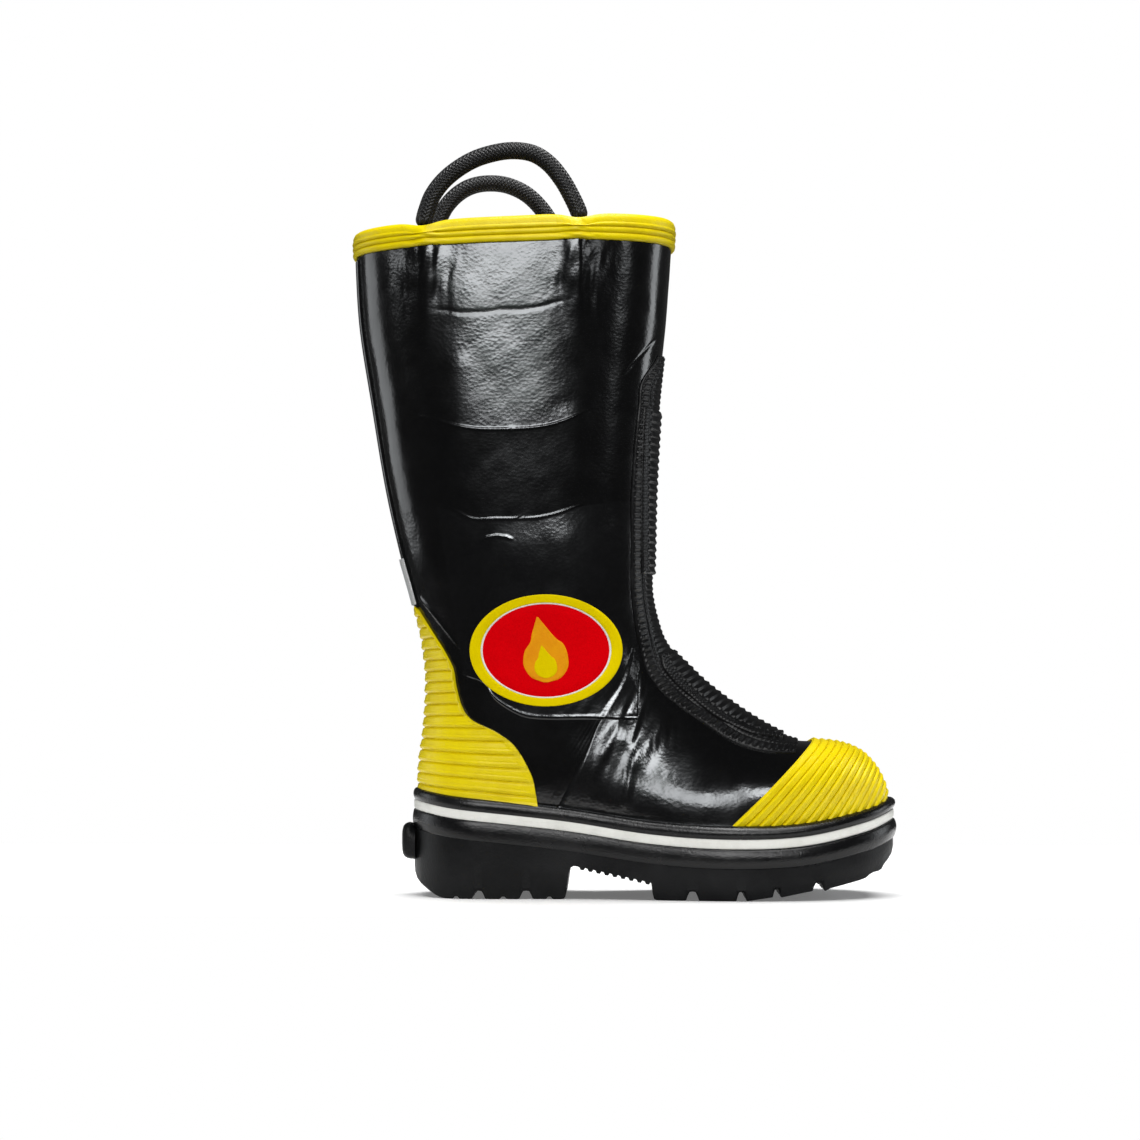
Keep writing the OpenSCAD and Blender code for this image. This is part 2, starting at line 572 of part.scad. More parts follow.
// plain flame: x and z from the centre of the badge, up the left side and down the right
FLAME_LEFT = [[-3, -17], [-10, -13], [-13, -6], [-11, 1], [-7, 5], [-6, 10], [-3, 17]];
FLAME_RIGHT = [[3, -17], [10, -13], [13, -6], [12, 0], [9, 5], [5, 9], [-1, 17]];
module badge_flame() {
    grid = function(d) [
        for (v = steps(0, 1, 4))
            [for (i = [0:6])
                let (p = badge_at + FLAME_LEFT[i] + (FLAME_RIGHT[i] - FLAME_LEFT[i]) * v)
                on_side(p[0], p[1], LATERAL, d)]
    ];
    color("#f4b400") sheet(grid(3.1), grid(2.6));
}

// ---- inner layers ----
// how far plies between rubber and felt push the felt in
function push(t, a) =
    2.8 * smooth(t, 17.4, 18.2) * (1 - smooth(abs(a), 132, 150))
    + 2.4 * smooth(t, 7.6, 8.3) * smooth(abs(a), 60, 80) * (1 - smooth(t, 11.5, 13) * smooth(abs(a), 110, 140))
    * (1 - smooth(t, 13.5, 14.5))
    + 3.8 * smooth(t, 2.2, 3) * (1 - smooth(abs(a), 42, 58)) * (1 - smooth(t, 9.4, 10.4));
felt_out = -(rubber_t + 0.9);
felt_in = felt_out - felt_t;
lining_out = felt_in - 0.3;
lining_in = lining_out - lining_t;
// the felt gives way round the rope ends
rope_give = -2.6;
// the inner layers end in a blunt toe
inner_toe = last_ring - 1.6;
module insulation() {
    color("#6d6a5f")
        sock(function(a) rim_ring, inner_toe, 22, AROUND, function(t, a) felt_out - push(t, a),
             function(t, a) felt_in - push(t, a), rope_give, rope_give);
}
module lining() {
    color("#c8b27a")
        sock(function(a) rim_ring, inner_toe, 22, AROUND, function(t, a) lining_out - push(t, a),
             function(t, a) lining_in - push(t, a), rope_give, rope_give);
}
module steel_toe_cap() {
    grid = function(d) [
        for (t = [19, 20, 21, 22, 23, 23.8])
            [for (v = steps(-1, 1, 14)) skin(t, v * 128, d)]
    ];
    color("#9aa0a4") sheet(grid(-rubber_t - 1), grid(-rubber_t - 2.6));
}
module toe_cap_bumper() {
    grid = function(d) [
        for (t = [18.4, 18.7, 18.95])
            [for (v = steps(-1, 1, 12)) skin(t, v * 110, d)]
    ];
    color("#2a2a2a") sheet(grid(-rubber_t - 1), grid(-rubber_t - 2.6));
}
module heel_counter() {
    grid = function(d) [
        for (z = [112, 100, 88, 76, 64])
            let (xb = back_x(z, d))
            [for (s = steps(-1, 1, 12))
                let (p = on_side(xb + 42 * s * s, z, s < 0 ? LATERAL : MEDIAL, d))
                abs(s) < 0.01 ? [xb, 0, z] : p]
    ];
    color("#2c2c2c") sheet(grid(-rubber_t - 1), grid(-rubber_t - 2.3));
}
module shin_padding() {
    grid = function(d) [for (t = [3.1, 4, 5, 6, 7, 8, 9, 9.3]) [for (v = steps(-1, 1, 6)) skin(t, v * 38, d)]];
    color("#55585a") sheet(grid(-rubber_t - 1), grid(-rubber_t - 3.8));
}

// ---- collar and handles ----
// section of the ribbed band: share of its height down from the rim, layer
COLLAR = [[-0.14, -rubber_t], [-0.16, 1.2], [-0.02, 2.3], [0.24, 2.3], [0.31, 1.5], [0.4, 2.4],
    [0.58, 2.4], [0.65, 1.5], [0.74, 2.3], [0.95, 2], [1, 0.3], [-0.03, 0.3], [-0.03, -rubber_t]];
ring_step = 51;
module collar_band() {
    color("#e9d500")
        stack([
            for (a = AROUND)
                [for (s = COLLAR) skin(rim_ring + s[0] * collar_h / ring_step, a, s[1])]
        ], joined = true);
}
// tube of rings square to a path
module tube(path, d, sides, round_ends) {
    n = len(path);
    plain = [for (i = [0:n - 1])
        [path[i], unit(path[min(i + 1, n - 1)] - path[max(i - 1, 0)]), d / 2]];
    ends = [for (q = [10, 35, 60]) [sin(q), cos(q)]];
    rows = round_ends ? concat(
        [for (e = ends) [path[0] - plain[0][1] * e[1] * d / 2, plain[0][1], e[0] * d / 2]],
        plain,
        [for (i = [2:-1:0]) [path[n - 1] + plain[n - 1][1] * ends[i][1] * d / 2, plain[n - 1][1], ends[i][0] * d / 2]]
    ) : plain;
    stack([
        for (r = rows)
            let (u = unit(cross(r[1], [0, 1, 0.02])), v = cross(r[1], u))
            [for (j = [0:sides - 1])
                let (q = 360 * j / sides)
                r[0] + r[2] * (cos(q) * u - sin(q) * v)]
    ]);
}
// height of the rim, from the second ring's ends
function rim_z(x) =
    let (r = RINGS[rim_ring])
    r[1] + (x - r[0]) * (r[3] - r[1]) / (r[2] - r[0]);
function rope_y(x, side) = on_side(x, rim_z(x) - 1, side)[1] - side * (pocket_bulge + rope_depth - 0.25);
// point where a rope leg crosses its hinge line
function hinge_point(x, side) = [x, rope_y(x, side), rim_z(x) + hinge_lift];
module handle(side) {
    p0 = hinge_point(handle_back_x, side);
    p1 = hinge_point(front_x(side), side);
    arch = side == LATERAL ? LATERAL_ARCH : MEDIAL_ARCH;
    path = [for (t = steps(0, len(arch) - 1, 24))
        let (s = along(arch, t))
        p0 + (p1 - p0) * s[0] + [0, 0, handle_rise * s[1]]];
    color("#1a1a1b") tube(path, rope_d, 12, true);
}
module handle_lateral() { handle(LATERAL); }
module handle_medial() { handle(MEDIAL); }
// the ends of the rope, held between the rubber and the felt; the back one leans forward as it goes down
rope_end_gap = 0.35;
back_lean = 3.6;
front_lean = -0.8;
module rope_ends(side) {
    depth = pocket_bulge + rope_depth;
    color("#1a1a1b")
        for (x = [handle_back_x, front_x(side)]) {
            top = hinge_point(x, side) - [0, 0, rope_d / 2 + rope_end_gap];
            low_x = x + (x == handle_back_x ? back_lean : front_lean);
            low = [low_x, on_side(low_x, rope_end_z, side)[1] - side * depth, rope_end_z];
            tube([for (f = steps(0, 1, 3)) top + (low - top) * f], rope_d, 12, false);
        }
}
module rope_ends_lateral() { rope_ends(LATERAL); }
module rope_ends_medial() { rope_ends(MEDIAL); }

outsole();
midsole_filler();
steel_shank();
puncture_plate();
lower_foxing();
foxing_stripe();
upper_foxing();
vamp();
leg_lateral();
leg_medial();
backstay();
reflective_strip();
ankle_patch_lateral();
ankle_patch_medial();
heel_counter();
steel_toe_cap();
toe_cap_bumper();
toe_guard();
heel_guard();
shin_guard();
shin_overlay();
instep_overlay();
shin_padding();
insulation();
lining();
insole_board();
insole();
collar_band();
badge_border();
badge_field();
badge_flame();
rope_ends_lateral();
rope_ends_medial();
handle_lateral();
handle_medial();
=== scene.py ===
import json
import math

import bpy
import numpy as np
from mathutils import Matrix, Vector

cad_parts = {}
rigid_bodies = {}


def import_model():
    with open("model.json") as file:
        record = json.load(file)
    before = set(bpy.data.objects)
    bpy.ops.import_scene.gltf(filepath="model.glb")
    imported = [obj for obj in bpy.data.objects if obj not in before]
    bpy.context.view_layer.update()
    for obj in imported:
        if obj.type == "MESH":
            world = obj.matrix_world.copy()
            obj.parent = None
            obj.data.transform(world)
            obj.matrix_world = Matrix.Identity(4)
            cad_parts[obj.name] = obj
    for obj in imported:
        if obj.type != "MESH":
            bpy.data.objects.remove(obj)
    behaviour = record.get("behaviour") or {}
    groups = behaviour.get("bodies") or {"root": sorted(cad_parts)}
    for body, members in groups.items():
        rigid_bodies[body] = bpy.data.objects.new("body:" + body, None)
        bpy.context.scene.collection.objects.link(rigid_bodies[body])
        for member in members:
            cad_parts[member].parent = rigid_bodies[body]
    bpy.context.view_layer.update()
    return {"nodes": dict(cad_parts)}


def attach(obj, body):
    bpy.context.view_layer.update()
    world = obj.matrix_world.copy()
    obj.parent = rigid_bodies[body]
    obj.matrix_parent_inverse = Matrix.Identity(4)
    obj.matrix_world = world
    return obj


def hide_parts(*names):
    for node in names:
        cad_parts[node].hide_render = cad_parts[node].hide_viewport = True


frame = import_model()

# Lengths in this script are millimetres in the CAD frame; new_object() turns them into metres.
LATERAL = -1
MEDIAL = 1
WORD = {LATERAL: "lateral", MEDIAL: "medial"}

# ---- The boot's form, as in part.scad ----
# back x, back z, front x, front z, lateral half width, medial half width,
# share of the ring behind its widest place, squareness behind it, squareness ahead of it
RINGS = np.array([
    [-165.6, 412, 32, 420, 52.5, 52.5, 0.5, 2.3, 2.5],
    [-165, 402, 31, 409, 52.5, 52.5, 0.5, 2.3, 2.5],
    [-162, 351, 27, 352, 53, 53, 0.5, 2.3, 2.5],
    [-154, 300, 21.5, 300, 53.5, 53.5, 0.5, 2.3, 2.5],
    [-145.5, 250, 18.5, 250, 53, 52.5, 0.5, 2.3, 2.5],
    [-136.5, 210, 17.5, 211, 51, 50.5, 0.5, 2.3, 2.5],
    [-129, 183, 17, 190, 48.5, 48, 0.5, 2.3, 2.5],
    [-122, 155, 18, 180, 46.5, 46, 0.5, 2.3, 2.4],
    [-119.5, 128, 20.5, 169, 45, 44.5, 0.5, 2.4, 2.3],
    [-121, 102, 24.5, 157, 44, 43.5, 0.49, 2.4, 2.3],
    [-123.6, 80, 31, 147, 43.5, 42.5, 0.48, 2.5, 2.3],
    [-124.4, 60, 39, 139, 43, 42, 0.46, 2.7, 2.3],
    [-120, 46, 47, 131, 43, 41.5, 0.44, 3, 2.3],
    [-95, 42, 56, 123.5, 43, 41, 0.42, 3.5, 2.3],
    [-60, 38, 66, 116, 43, 40, 0.4, 4, 2.3],
    [-20, 33.2, 77, 108.5, 45, 40, 0.38, 4, 2.3],
    [20, 27.5, 88, 102, 49, 43.5, 0.36, 4, 2.3],
    [55, 25.5, 98, 97, 53, 48.5, 0.35, 4, 2.3],
    [82, 25.5, 108, 94, 54.5, 52, 0.35, 4, 2.3],
    [103, 26.6, 118, 93.5, 53, 53, 0.36, 4, 2.4],
    [121, 29, 129, 92.5, 49.5, 51.5, 0.38, 4, 2.5],
    [136, 32.2, 139, 90, 43.5, 47, 0.4, 4, 2.6],
    [148, 36, 148, 84.5, 35, 39.5, 0.42, 3.5, 2.6],
    [156, 40, 155.5, 75, 26, 30, 0.45, 3, 2.5],
    [160.2, 45, 159.8, 65, 15, 17.5, 0.48, 2.5, 2.3],
    [161.6, 53, 161.4, 57, 4, 4.5, 0.5, 2.2, 2.2],
])
LAST = len(RINGS) - 1
RIM = 1.0
HEEL_RING = 12

# upper's walls, from the skin inward
LEG_WALL = 2.6
VAMP_WALL = 2.4

HEEL_X = -128.0
TOE_X = 165.6
SOLE_MID = (HEEL_X + TOE_X) / 2
SOLE_HALF = (TOE_X - HEEL_X) / 2
HEEL_ROUND = 42.0
TOE_ROUND = 62.0
SOLE_WALL = 3.8
# usual half width of the sole: an inset narrows the plan by its share of this
SOLE_HALF_WIDTH = 48
# x and half width of the sole's plan
LATERAL_WIDTH = [(-128, 41), (-75, 41), (-50, 40), (-20, 42), (12, 47.5), (40, 53), (62, 56),
                 (84, 55.5), (105, 53), (125, 50), (167, 47)]
MEDIAL_WIDTH = [(-128, 40), (-75, 39.5), (-50, 36.5), (-18, 34), (12, 37.5), (40, 45), (65, 51),
                (84, 54), (100, 55), (115, 54.5), (130, 54), (167, 53)]
# x and height of the line where the upper meets the foxing, and of the tread's lower face
PARTING = [(-130, 41), (-103, 36), (-66, 32), (-30, 28), (18, 21), (68, 18.5), (110, 20.5),
           (146, 28), (168, 36)]
GROUND = [(-34, 0), (70, 0), (90, 2), (113, 5), (134, 9.5), (147, 13), (158, 19), (166, 25)]

HANDLE_BACK_X = -120.0
HINGE_LIFT = 6.4
ROPE_D = 10.4
ROPE_DEPTH = 5.8
POCKET_BULGE = 3.9
HANDLE_RISE = 39.0
# share of the span, share of the rise; the inner loop is narrower and leans back
ARCH = {
    LATERAL: [(0, 0), (0.015, 0.14), (0.055, 0.38), (0.13, 0.61), (0.24, 0.81), (0.37, 0.95),
              (0.54, 1.02), (0.69, 0.97), (0.8, 0.8), (0.89, 0.53), (0.96, 0.22), (1, 0)],
    MEDIAL: [(0, 0), (0.01, 0.16), (0.04, 0.38), (0.1, 0.61), (0.19, 0.8), (0.3, 0.92),
             (0.43, 0.96), (0.58, 0.92), (0.73, 0.77), (0.85, 0.53), (0.95, 0.22), (1, 0)],
}


def curve(x, table):
    """Smooth curve through a table of x, y."""
    tx = np.array([p[0] for p in table], float)
    ty = np.array([p[1] for p in table], float)
    x = np.asarray(x, float)
    i = np.clip(np.searchsorted(tx, x, side="right") - 1, 0, len(tx) - 2)
    lo = np.maximum(np.arange(len(tx)) - 1, 0)
    hi = np.minimum(np.arange(len(tx)) + 1, len(tx) - 1)
    slopes = (ty[hi] - ty[lo]) / (tx[hi] - tx[lo])
    h = tx[i + 1] - tx[i]
    f = np.clip((x - tx[i]) / h, 0, 1)
    m0 = slopes[i] * h
    m1 = slopes[i + 1] * h
    return ((2 * f**3 - 3 * f**2 + 1) * ty[i] + (f**3 - 2 * f**2 + f) * m0
            + (3 * f**2 - 2 * f**3) * ty[i + 1] + (f**3 - f**2) * m1)


def along(rows, t):
    """Point t of the way, in rows, along a list of vectors (Catmull-Rom)."""
    t = np.asarray(t, float)
    n = len(rows) - 1
    i = np.clip(np.floor(t).astype(int), 0, n - 1)
    f = (t - i)[..., None]
    a = rows[np.maximum(i - 1, 0)]
    b = rows[i]
    c = rows[i + 1]
    d = rows[np.minimum(i + 2, n)]
    square = 2 * a - 5 * b + 4 * c - d
    cube = 3 * b - a - 3 * c + d
    return 0.5 * (2 * b + (c - a) * f + square * f**2 + cube * f**3)


def hump(x, middle, width):
    """Bell of height 1 at the middle."""
    return np.exp(-((x - middle) / width) ** 2)


def smooth(x, a, b):
    f = np.clip((np.asarray(x, float) - a) / (b - a), 0, 1)
    return f * f * (3 - 2 * f)


def rounding(s, r):
    """Quarter circle of radius r, from 0 at the end to 1."""
    return np.sqrt(np.clip(1 - (1 - np.clip(s / r, 0, 1)) ** 2, 0, 1))


def half_width(x, side):
    """Half width of the sole's plan at x on one side, rounded off at heel and toe."""
    side = np.broadcast_to(side, np.shape(x))
    wide = np.where(side < 0, curve(x, LATERAL_WIDTH), curve(x, MEDIAL_WIDTH))
    return wide * rounding(x - HEEL_X, HEEL_ROUND) * rounding(TOE_X - x, TOE_ROUND)


def parting(x):
    return curve(x, PARTING)


def room(x, z, side, d):
    """Widest half width that the sole leaves the upper."""
    inset = SOLE_WALL - d
    px = SOLE_MID + (x - SOLE_MID) / (1 - inset / SOLE_HALF)
    above = np.maximum(0, z - parting(x) - 27)
    return half_width(px, side) * (1 - inset / SOLE_HALF_WIDTH) + 0.3 * above


def outward_normals(column):
    """Side-view normal at one end of each ring, pointing away from its other end."""
    lo = RINGS[np.maximum(np.arange(LAST + 1) - 1, 0)]
    hi = RINGS[np.minimum(np.arange(LAST + 1) + 1, LAST)]
    tangent = hi[:, column:column + 2] - lo[:, column:column + 2]
    normal = np.stack([tangent[:, 1], -tangent[:, 0]], 1)
    normal /= np.linalg.norm(normal, axis=1)[:, None]
    other = 2 - column
    away = RINGS[:, column:column + 2] - RINGS[:, other:other + 2]
    return np.where((np.sum(normal * away, 1) < 0)[:, None], -normal, normal)


ROWS = np.hstack([RINGS, outward_normals(0), outward_normals(2)])


def ring_parts(t, d):
    """Ring t on the layer d: back x and z, front x and z, then its columns 4 to 8 as they are."""
    columns = np.moveaxis(along(ROWS, t), -1, 0)
    ends = [columns[i] + d * columns[i + 9] for i in range(4)]
    return (*ends, *columns[4:9])


def halve(shape, lo, hi, is_past, steps=20):
    """By halving, the value between lo and hi from which is_past holds, for each place of an array."""
    lo = np.full(shape, float(lo))
    hi = np.full(shape, float(hi))
    for _ in range(steps):
        middle = (lo + hi) / 2
        past = is_past(middle)
        hi = np.where(past, middle, hi)
        lo = np.where(past, lo, middle)
    return (lo + hi) / 2


def front_x(side):
    return np.where(np.asarray(side) < 0, -26.0, -40.0)


def pocket(x, z, side):
    """Bulge of the shaft over the rope ends, narrower and shallower towards its lower end."""
    width = 5.5 + 4.0 * smooth(z, 330, 385)
    return (hump(x, HANDLE_BACK_X, width) + hump(x, front_x(side), width)) * smooth(z, 326, 392)


def blend_min(y, h):
    """The lower of two lengths, with a soft change from one to the other."""
    safe_y = np.maximum(y, 0.5)
    safe_h = np.maximum(h, 0.5)
    soft = (safe_y ** -12.0 + safe_h ** -12.0) ** (-1 / 12)
    return np.where((y < 0.5) | (h < 0.5), np.minimum(y, h), soft)


def skin(t, a, d=0.0, bulge=1.0):
    """Point on the layer d outside the skin at ring t and angle a in degrees (lateral below 0)."""
    t, a, d = np.broadcast_arrays(np.asarray(t, float), np.asarray(a, float), np.asarray(d, float))
    bx, bz, fx, fz, wide_l, wide_m, m, square_b, square_f = ring_parts(t, d)
    side = np.where(a < 0, LATERAL, MEDIAL)
    c = np.cos(np.radians(a))
    s = np.abs(np.sin(np.radians(a)))
    n = np.where(c < 0, square_b, square_f)
    reach = np.abs(c) ** (2 / n)
    k = np.where(c < 0, m * (1 - reach), m + (1 - m) * reach)
    x = bx + (fx - bx) * k
    z = bz + (fz - bz) * k
    w = np.maximum(0.4, np.where(side < 0, wide_l, wide_m) + d)
    y = w * s ** (2 / n)
    swell = bulge * POCKET_BULGE * pocket(x, z, side) * smooth(y, 15, 40)
    y = blend_min(y, room(x, z, side, d)) + swell
    return np.stack([x, side * y, z], -1)


def ring_of(x, z, d=0.0):
    """Ring whose plane holds a place of the side view."""
    x, z = np.broadcast_arrays(np.asarray(x, float), np.asarray(z, float))

    def below_place(t):
        bx, bz, fx, fz = ring_parts(t, d)[:4]
        return (fx - bx) * (z - bz) - (fz - bz) * (x - bx) > 0

    return halve(x.shape, 0, LAST, below_place)


def angle_of(x, z, t, d=0.0):
    """Angle, in degrees from the front, at which ring t holds a place of the side view."""
    bx, bz, fx, fz, _, _, m, square_b, square_f = ring_parts(t, d)
    vx = fx - bx
    vz = fz - bz
    k = np.clip(((x - bx) * vx + (z - bz) * vz) / (vx**2 + vz**2), 0, 1)
    back = -np.clip((m - k) / m, 0, 1) ** (square_b / 2)
    front = np.clip((k - m) / (1 - m), 0, 1) ** (square_f / 2)
    return np.degrees(np.arccos(np.where(k < m, back, front)))


def on_side(x, z, side, d=0.0):
    """Point on the layer d outside the skin at a place of the side view."""
    t = ring_of(x, z, d)
    a = angle_of(x, z, t, d)
    p = skin(t, side * np.maximum(a, 0.01), d)
    x, z = np.broadcast_arrays(np.asarray(x, float), np.asarray(z, float))
    return np.stack([x, p[..., 1], z], -1)


def back_x(z, d=0.0):
    """Rearmost x of the layer at height z."""
    z = np.asarray(z, float)
    t = halve(z.shape, 0, HEEL_RING, lambda ring: ring_parts(ring, d)[1] < z)
    return ring_parts(t, d)[0]


# ---- Mesh helpers ----
def new_object(name, verts, faces, material, sharp=35.0):
    data = bpy.data.meshes.new(name)
    data.from_pydata([tuple(v) for v in np.asarray(verts) / 1000.0], [], [tuple(f) for f in faces])
    data.validate()
    data.update()
    data.polygons.foreach_set("use_smooth", [True] * len(data.polygons))
    data.set_sharp_from_angle(angle=math.radians(sharp))
    obj = bpy.data.objects.new(name, data)
    bpy.context.scene.collection.objects.link(obj)
    data.materials.append(material)
    return obj


def grid_normals(grid, core, around=False):
    """Unit normals of a grid of points, pointing away from a core point or a grid of them."""
    if around:
        wrapped = np.concatenate([grid[:, -1:], grid, grid[:, :1]], 1)
        dv = wrapped[:, 2:] - wrapped[:, :-2]
    else:
        dv = np.gradient(grid, axis=1)
    n = np.cross(np.gradient(grid, axis=0), dv)
    n = n / np.maximum(np.linalg.norm(n, axis=-1, keepdims=True), 1e-9)
    inward = np.mean(np.sum(n * (grid - core), -1) < 0) > 0.5
    return -n if inward else n


def shape_quads(m, n, around=False):
    i, j = np.meshgrid(np.arange(m - 1), np.arange(n if around else n - 1), indexing="ij")
    k = (j + 1) % n
    return np.stack([i * n + j, i * n + k, (i + 1) * n + k, (i + 1) * n + j], -1).reshape(-1, 4)


def orient(verts, faces):
    """Turn the faces outward by the sign of the volume they enclose."""
    v = np.asarray(verts)
    f = np.asarray(faces)
    total = 0.0
    for a, b, c in ((0, 1, 2), (0, 2, 3)):
        total += np.sum(v[f[:, a]] * np.cross(v[f[:, b]], v[f[:, c]]))
    return f[:, ::-1] if total < 0 else f


def layer_on(name, base, core, low, high, material, slot, node):
    """Closed sheet on a grid of the boot, its two faces raised by low and high."""
    n = grid_normals(base, core)
    return place(sheet_mesh(name, base + n * high[..., None], base + n * low, material, 40), slot, node)


def sheet_mesh(name, outer, inner, material, sharp=35.0):
    """Closed thick sheet between two grids of the same size."""
    m, n = outer.shape[:2]
    s = m * n
    top = shape_quads(m, n)
    under = shape_quads(m, n)[:, ::-1] + s
    edge = (list(range(n)) + [i * n + n - 1 for i in range(1, m)]
            + [(m - 1) * n + j for j in range(n - 2, -1, -1)] + [i * n for i in range(m - 2, 0, -1)])
    edge = np.array(edge)
    following = np.roll(edge, -1)
    rim = np.stack([following, edge, edge + s, following + s], -1)
    verts = np.concatenate([outer.reshape(-1, 3), inner.reshape(-1, 3)])
    faces = orient(verts, np.concatenate([top, under, rim]))
    return new_object(name, verts, faces, material, sharp)


def skin_mesh(name, outer, inner, material, every, sharp=50.0):
    """Closed thick sheet: a fine outer grid and an inner grid that keeps one column in every few."""
    m, n = outer.shape[:2]
    columns = list(range(0, n - 1, every)) + [n - 1]
    k = len(columns)
    s = m * n
    coarse = inner[:, columns]
    verts = np.concatenate([outer.reshape(-1, 3), coarse.reshape(-1, 3)])
    grid = orient(verts, np.concatenate([shape_quads(m, n), shape_quads(m, k)[:, ::-1] + s]))
    flipped = grid[0][1] != 1
    rims = []
    for i in range(m - 1):
        rims.append((i * n, (i + 1) * n, s + (i + 1) * k, s + i * k))
        rims.append(((i + 1) * n + n - 1, i * n + n - 1, s + i * k + k - 1, s + (i + 1) * k + k - 1))
    for c in range(k - 1):
        top = list(range(columns[c], columns[c + 1] + 1))
        rims.append(tuple(top[::-1] + [s + c, s + c + 1]))
        last = (m - 1) * n
        low = s + (m - 1) * k
        rims.append(tuple([last + j for j in top] + [low + c + 1, low + c]))
    if flipped:
        rims = [r[::-1] for r in rims]
    return new_object(name, verts, [tuple(f) for f in grid] + rims, material, sharp)


def loop_mesh(name, rings, material, joined=True, sharp=35.0):
    """Closed outlines stacked in order; the last joins the first, or both ends are capped."""
    m, n = rings.shape[:2]
    faces = shape_quads(m, n, around=True)
    if joined:
        j = np.arange(n)
        k = (j + 1) % n
        last = (m - 1) * n
        faces = np.concatenate([faces, np.stack([last + j, last + k, k, j], -1)])
        verts = rings.reshape(-1, 3)
        return new_object(name, verts, orient(verts, faces), material, sharp)
    verts = np.concatenate([rings.reshape(-1, 3), rings[0].mean(0)[None], rings[-1].mean(0)[None]])
    faces = orient(verts, faces)
    flipped = faces[0][0] != 0
    caps = []
    for j in range(n):
        k = (j + 1) % n
        first = (m * n, k, j)
        end = (m * n + 1, (m - 1) * n + j, (m - 1) * n + k)
        caps.append(first[::-1] if flipped else first)
        caps.append(end[::-1] if flipped else end)
    return new_object(name, verts, [tuple(f) for f in faces] + caps, material, sharp)


def waves(x, y, z, seed, size):
    """Smooth low relief between -1 and 1 from a few sines with set phases."""
    rng = np.random.default_rng(seed)
    total = np.zeros(np.shape(x))
    for _ in range(7):
        k = rng.normal(size=3)
        k = k / np.linalg.norm(k) * rng.uniform(0.6, 1.5) * 2 * np.pi / size
        total = total + np.sin(k[0] * x + k[1] * y + k[2] * z + rng.uniform(0, 6.28))
    return total / 4.0


# ---- Materials ----
class Look:
    """A Principled material with helpers for procedural detail in object space."""

    def __init__(self, name, color, roughness, **sockets):
        self.material = bpy.data.materials.new(name)
        self.material.use_nodes = True
        self.nodes = self.material.node_tree.nodes
        self.links = self.material.node_tree.links
        self.shader = self.nodes["Principled BSDF"]
        self.color = color
        self.shader.inputs["Base Color"].default_value = (*color, 1)
        self.shader.inputs["Roughness"].default_value = roughness
        for key, value in sockets.items():
            self.shader.inputs[key.replace("_", " ")].default_value = value
        self.coords = self.nodes.new("ShaderNodeTexCoord").outputs["Object"]
        self.height = None

    def texture(self, kind, scale, stretch=(1, 1, 1), **settings):
        node = self.nodes.new(kind)
        mapping = self.nodes.new("ShaderNodeMapping")
        mapping.inputs["Scale"].default_value = stretch
        self.links.new(self.coords, mapping.inputs["Vector"])
        self.links.new(mapping.outputs["Vector"], node.inputs["Vector"])
        node.inputs["Scale"].default_value = scale
        for key, value in settings.items():
            if key in node.inputs:
                node.inputs[key].default_value = value
            else:
                setattr(node, key, value)
        return node.outputs["Distance" if kind == "ShaderNodeTexVoronoi" else "Fac"]

    def noise(self, scale, detail=3.0, roughness=0.6, stretch=(1, 1, 1), **settings):
        return self.texture("ShaderNodeTexNoise", scale, stretch, Detail=detail, Roughness=roughness,
                            **settings)

    def math(self, operation, a, b):
        node = self.nodes.new("ShaderNodeMath")
        node.operation = operation
        for i, value in enumerate((a, b)):
            if isinstance(value, (int, float)):
                node.inputs[i].default_value = value
            else:
                self.links.new(value, node.inputs[i])
        return node.outputs[0]

    def spread(self, source, from_low, from_high, to_low, to_high):
        node = self.nodes.new("ShaderNodeMapRange")
        self.links.new(source, node.inputs["Value"])
        for key, value in (("From Min", from_low), ("From Max", from_high),
                           ("To Min", to_low), ("To Max", to_high)):
            node.inputs[key].default_value = value
        return node.outputs["Result"]

    def vary_color(self, source, other, low=0.35, high=0.65):
        ramp = self.nodes.new("ShaderNodeValToRGB")
        ramp.color_ramp.elements[0].position = low
        ramp.color_ramp.elements[1].position = high
        ramp.color_ramp.elements[0].color = (*self.color, 1)
        ramp.color_ramp.elements[1].color = (*other, 1)
        self.links.new(source, ramp.inputs["Fac"])
        self.links.new(ramp.outputs["Color"], self.shader.inputs["Base Color"])

    def vary_roughness(self, source, low, high):
        self.links.new(self.spread(source, 0.3, 0.7, low, high), self.shader.inputs["Roughness"])

    def add_height(self, source, amount):
        scaled = self.math("MULTIPLY", source, amount)
        self.height = scaled if self.height is None else self.math("ADD", self.height, scaled)

    def finish(self, distance):
        if self.height is not None:
            bump = self.nodes.new("ShaderNodeBump")
            bump.inputs["Strength"].default_value = 1.0
            bump.inputs["Distance"].default_value = distance
            self.links.new(self.height, bump.inputs["Height"])
            self.links.new(bump.outputs["Normal"], self.shader.inputs["Normal"])
        return self.material


def glossy_rubber():
    look = Look("black_rubber_skin", (0.0022, 0.0022, 0.0024), 0.2, Specular_IOR_Level=0.5)
    wide = look.noise(55)
    grain = look.noise(330, 3.0, 0.62, (1, 1, 1.25), Distortion=0.6)
    pores = look.texture("ShaderNodeTexVoronoi", 420, (1, 1, 1.2), Randomness=1.0)
    look.add_height(grain, 1.0)
    look.add_height(pores, 0.9)
    look.add_height(wide, 0.5)
    look.vary_roughness(wide, 0.13, 0.21)
    look.vary_color(grain, (0.004, 0.004, 0.0042), 0.4, 0.75)
    return look.finish(0.00004)


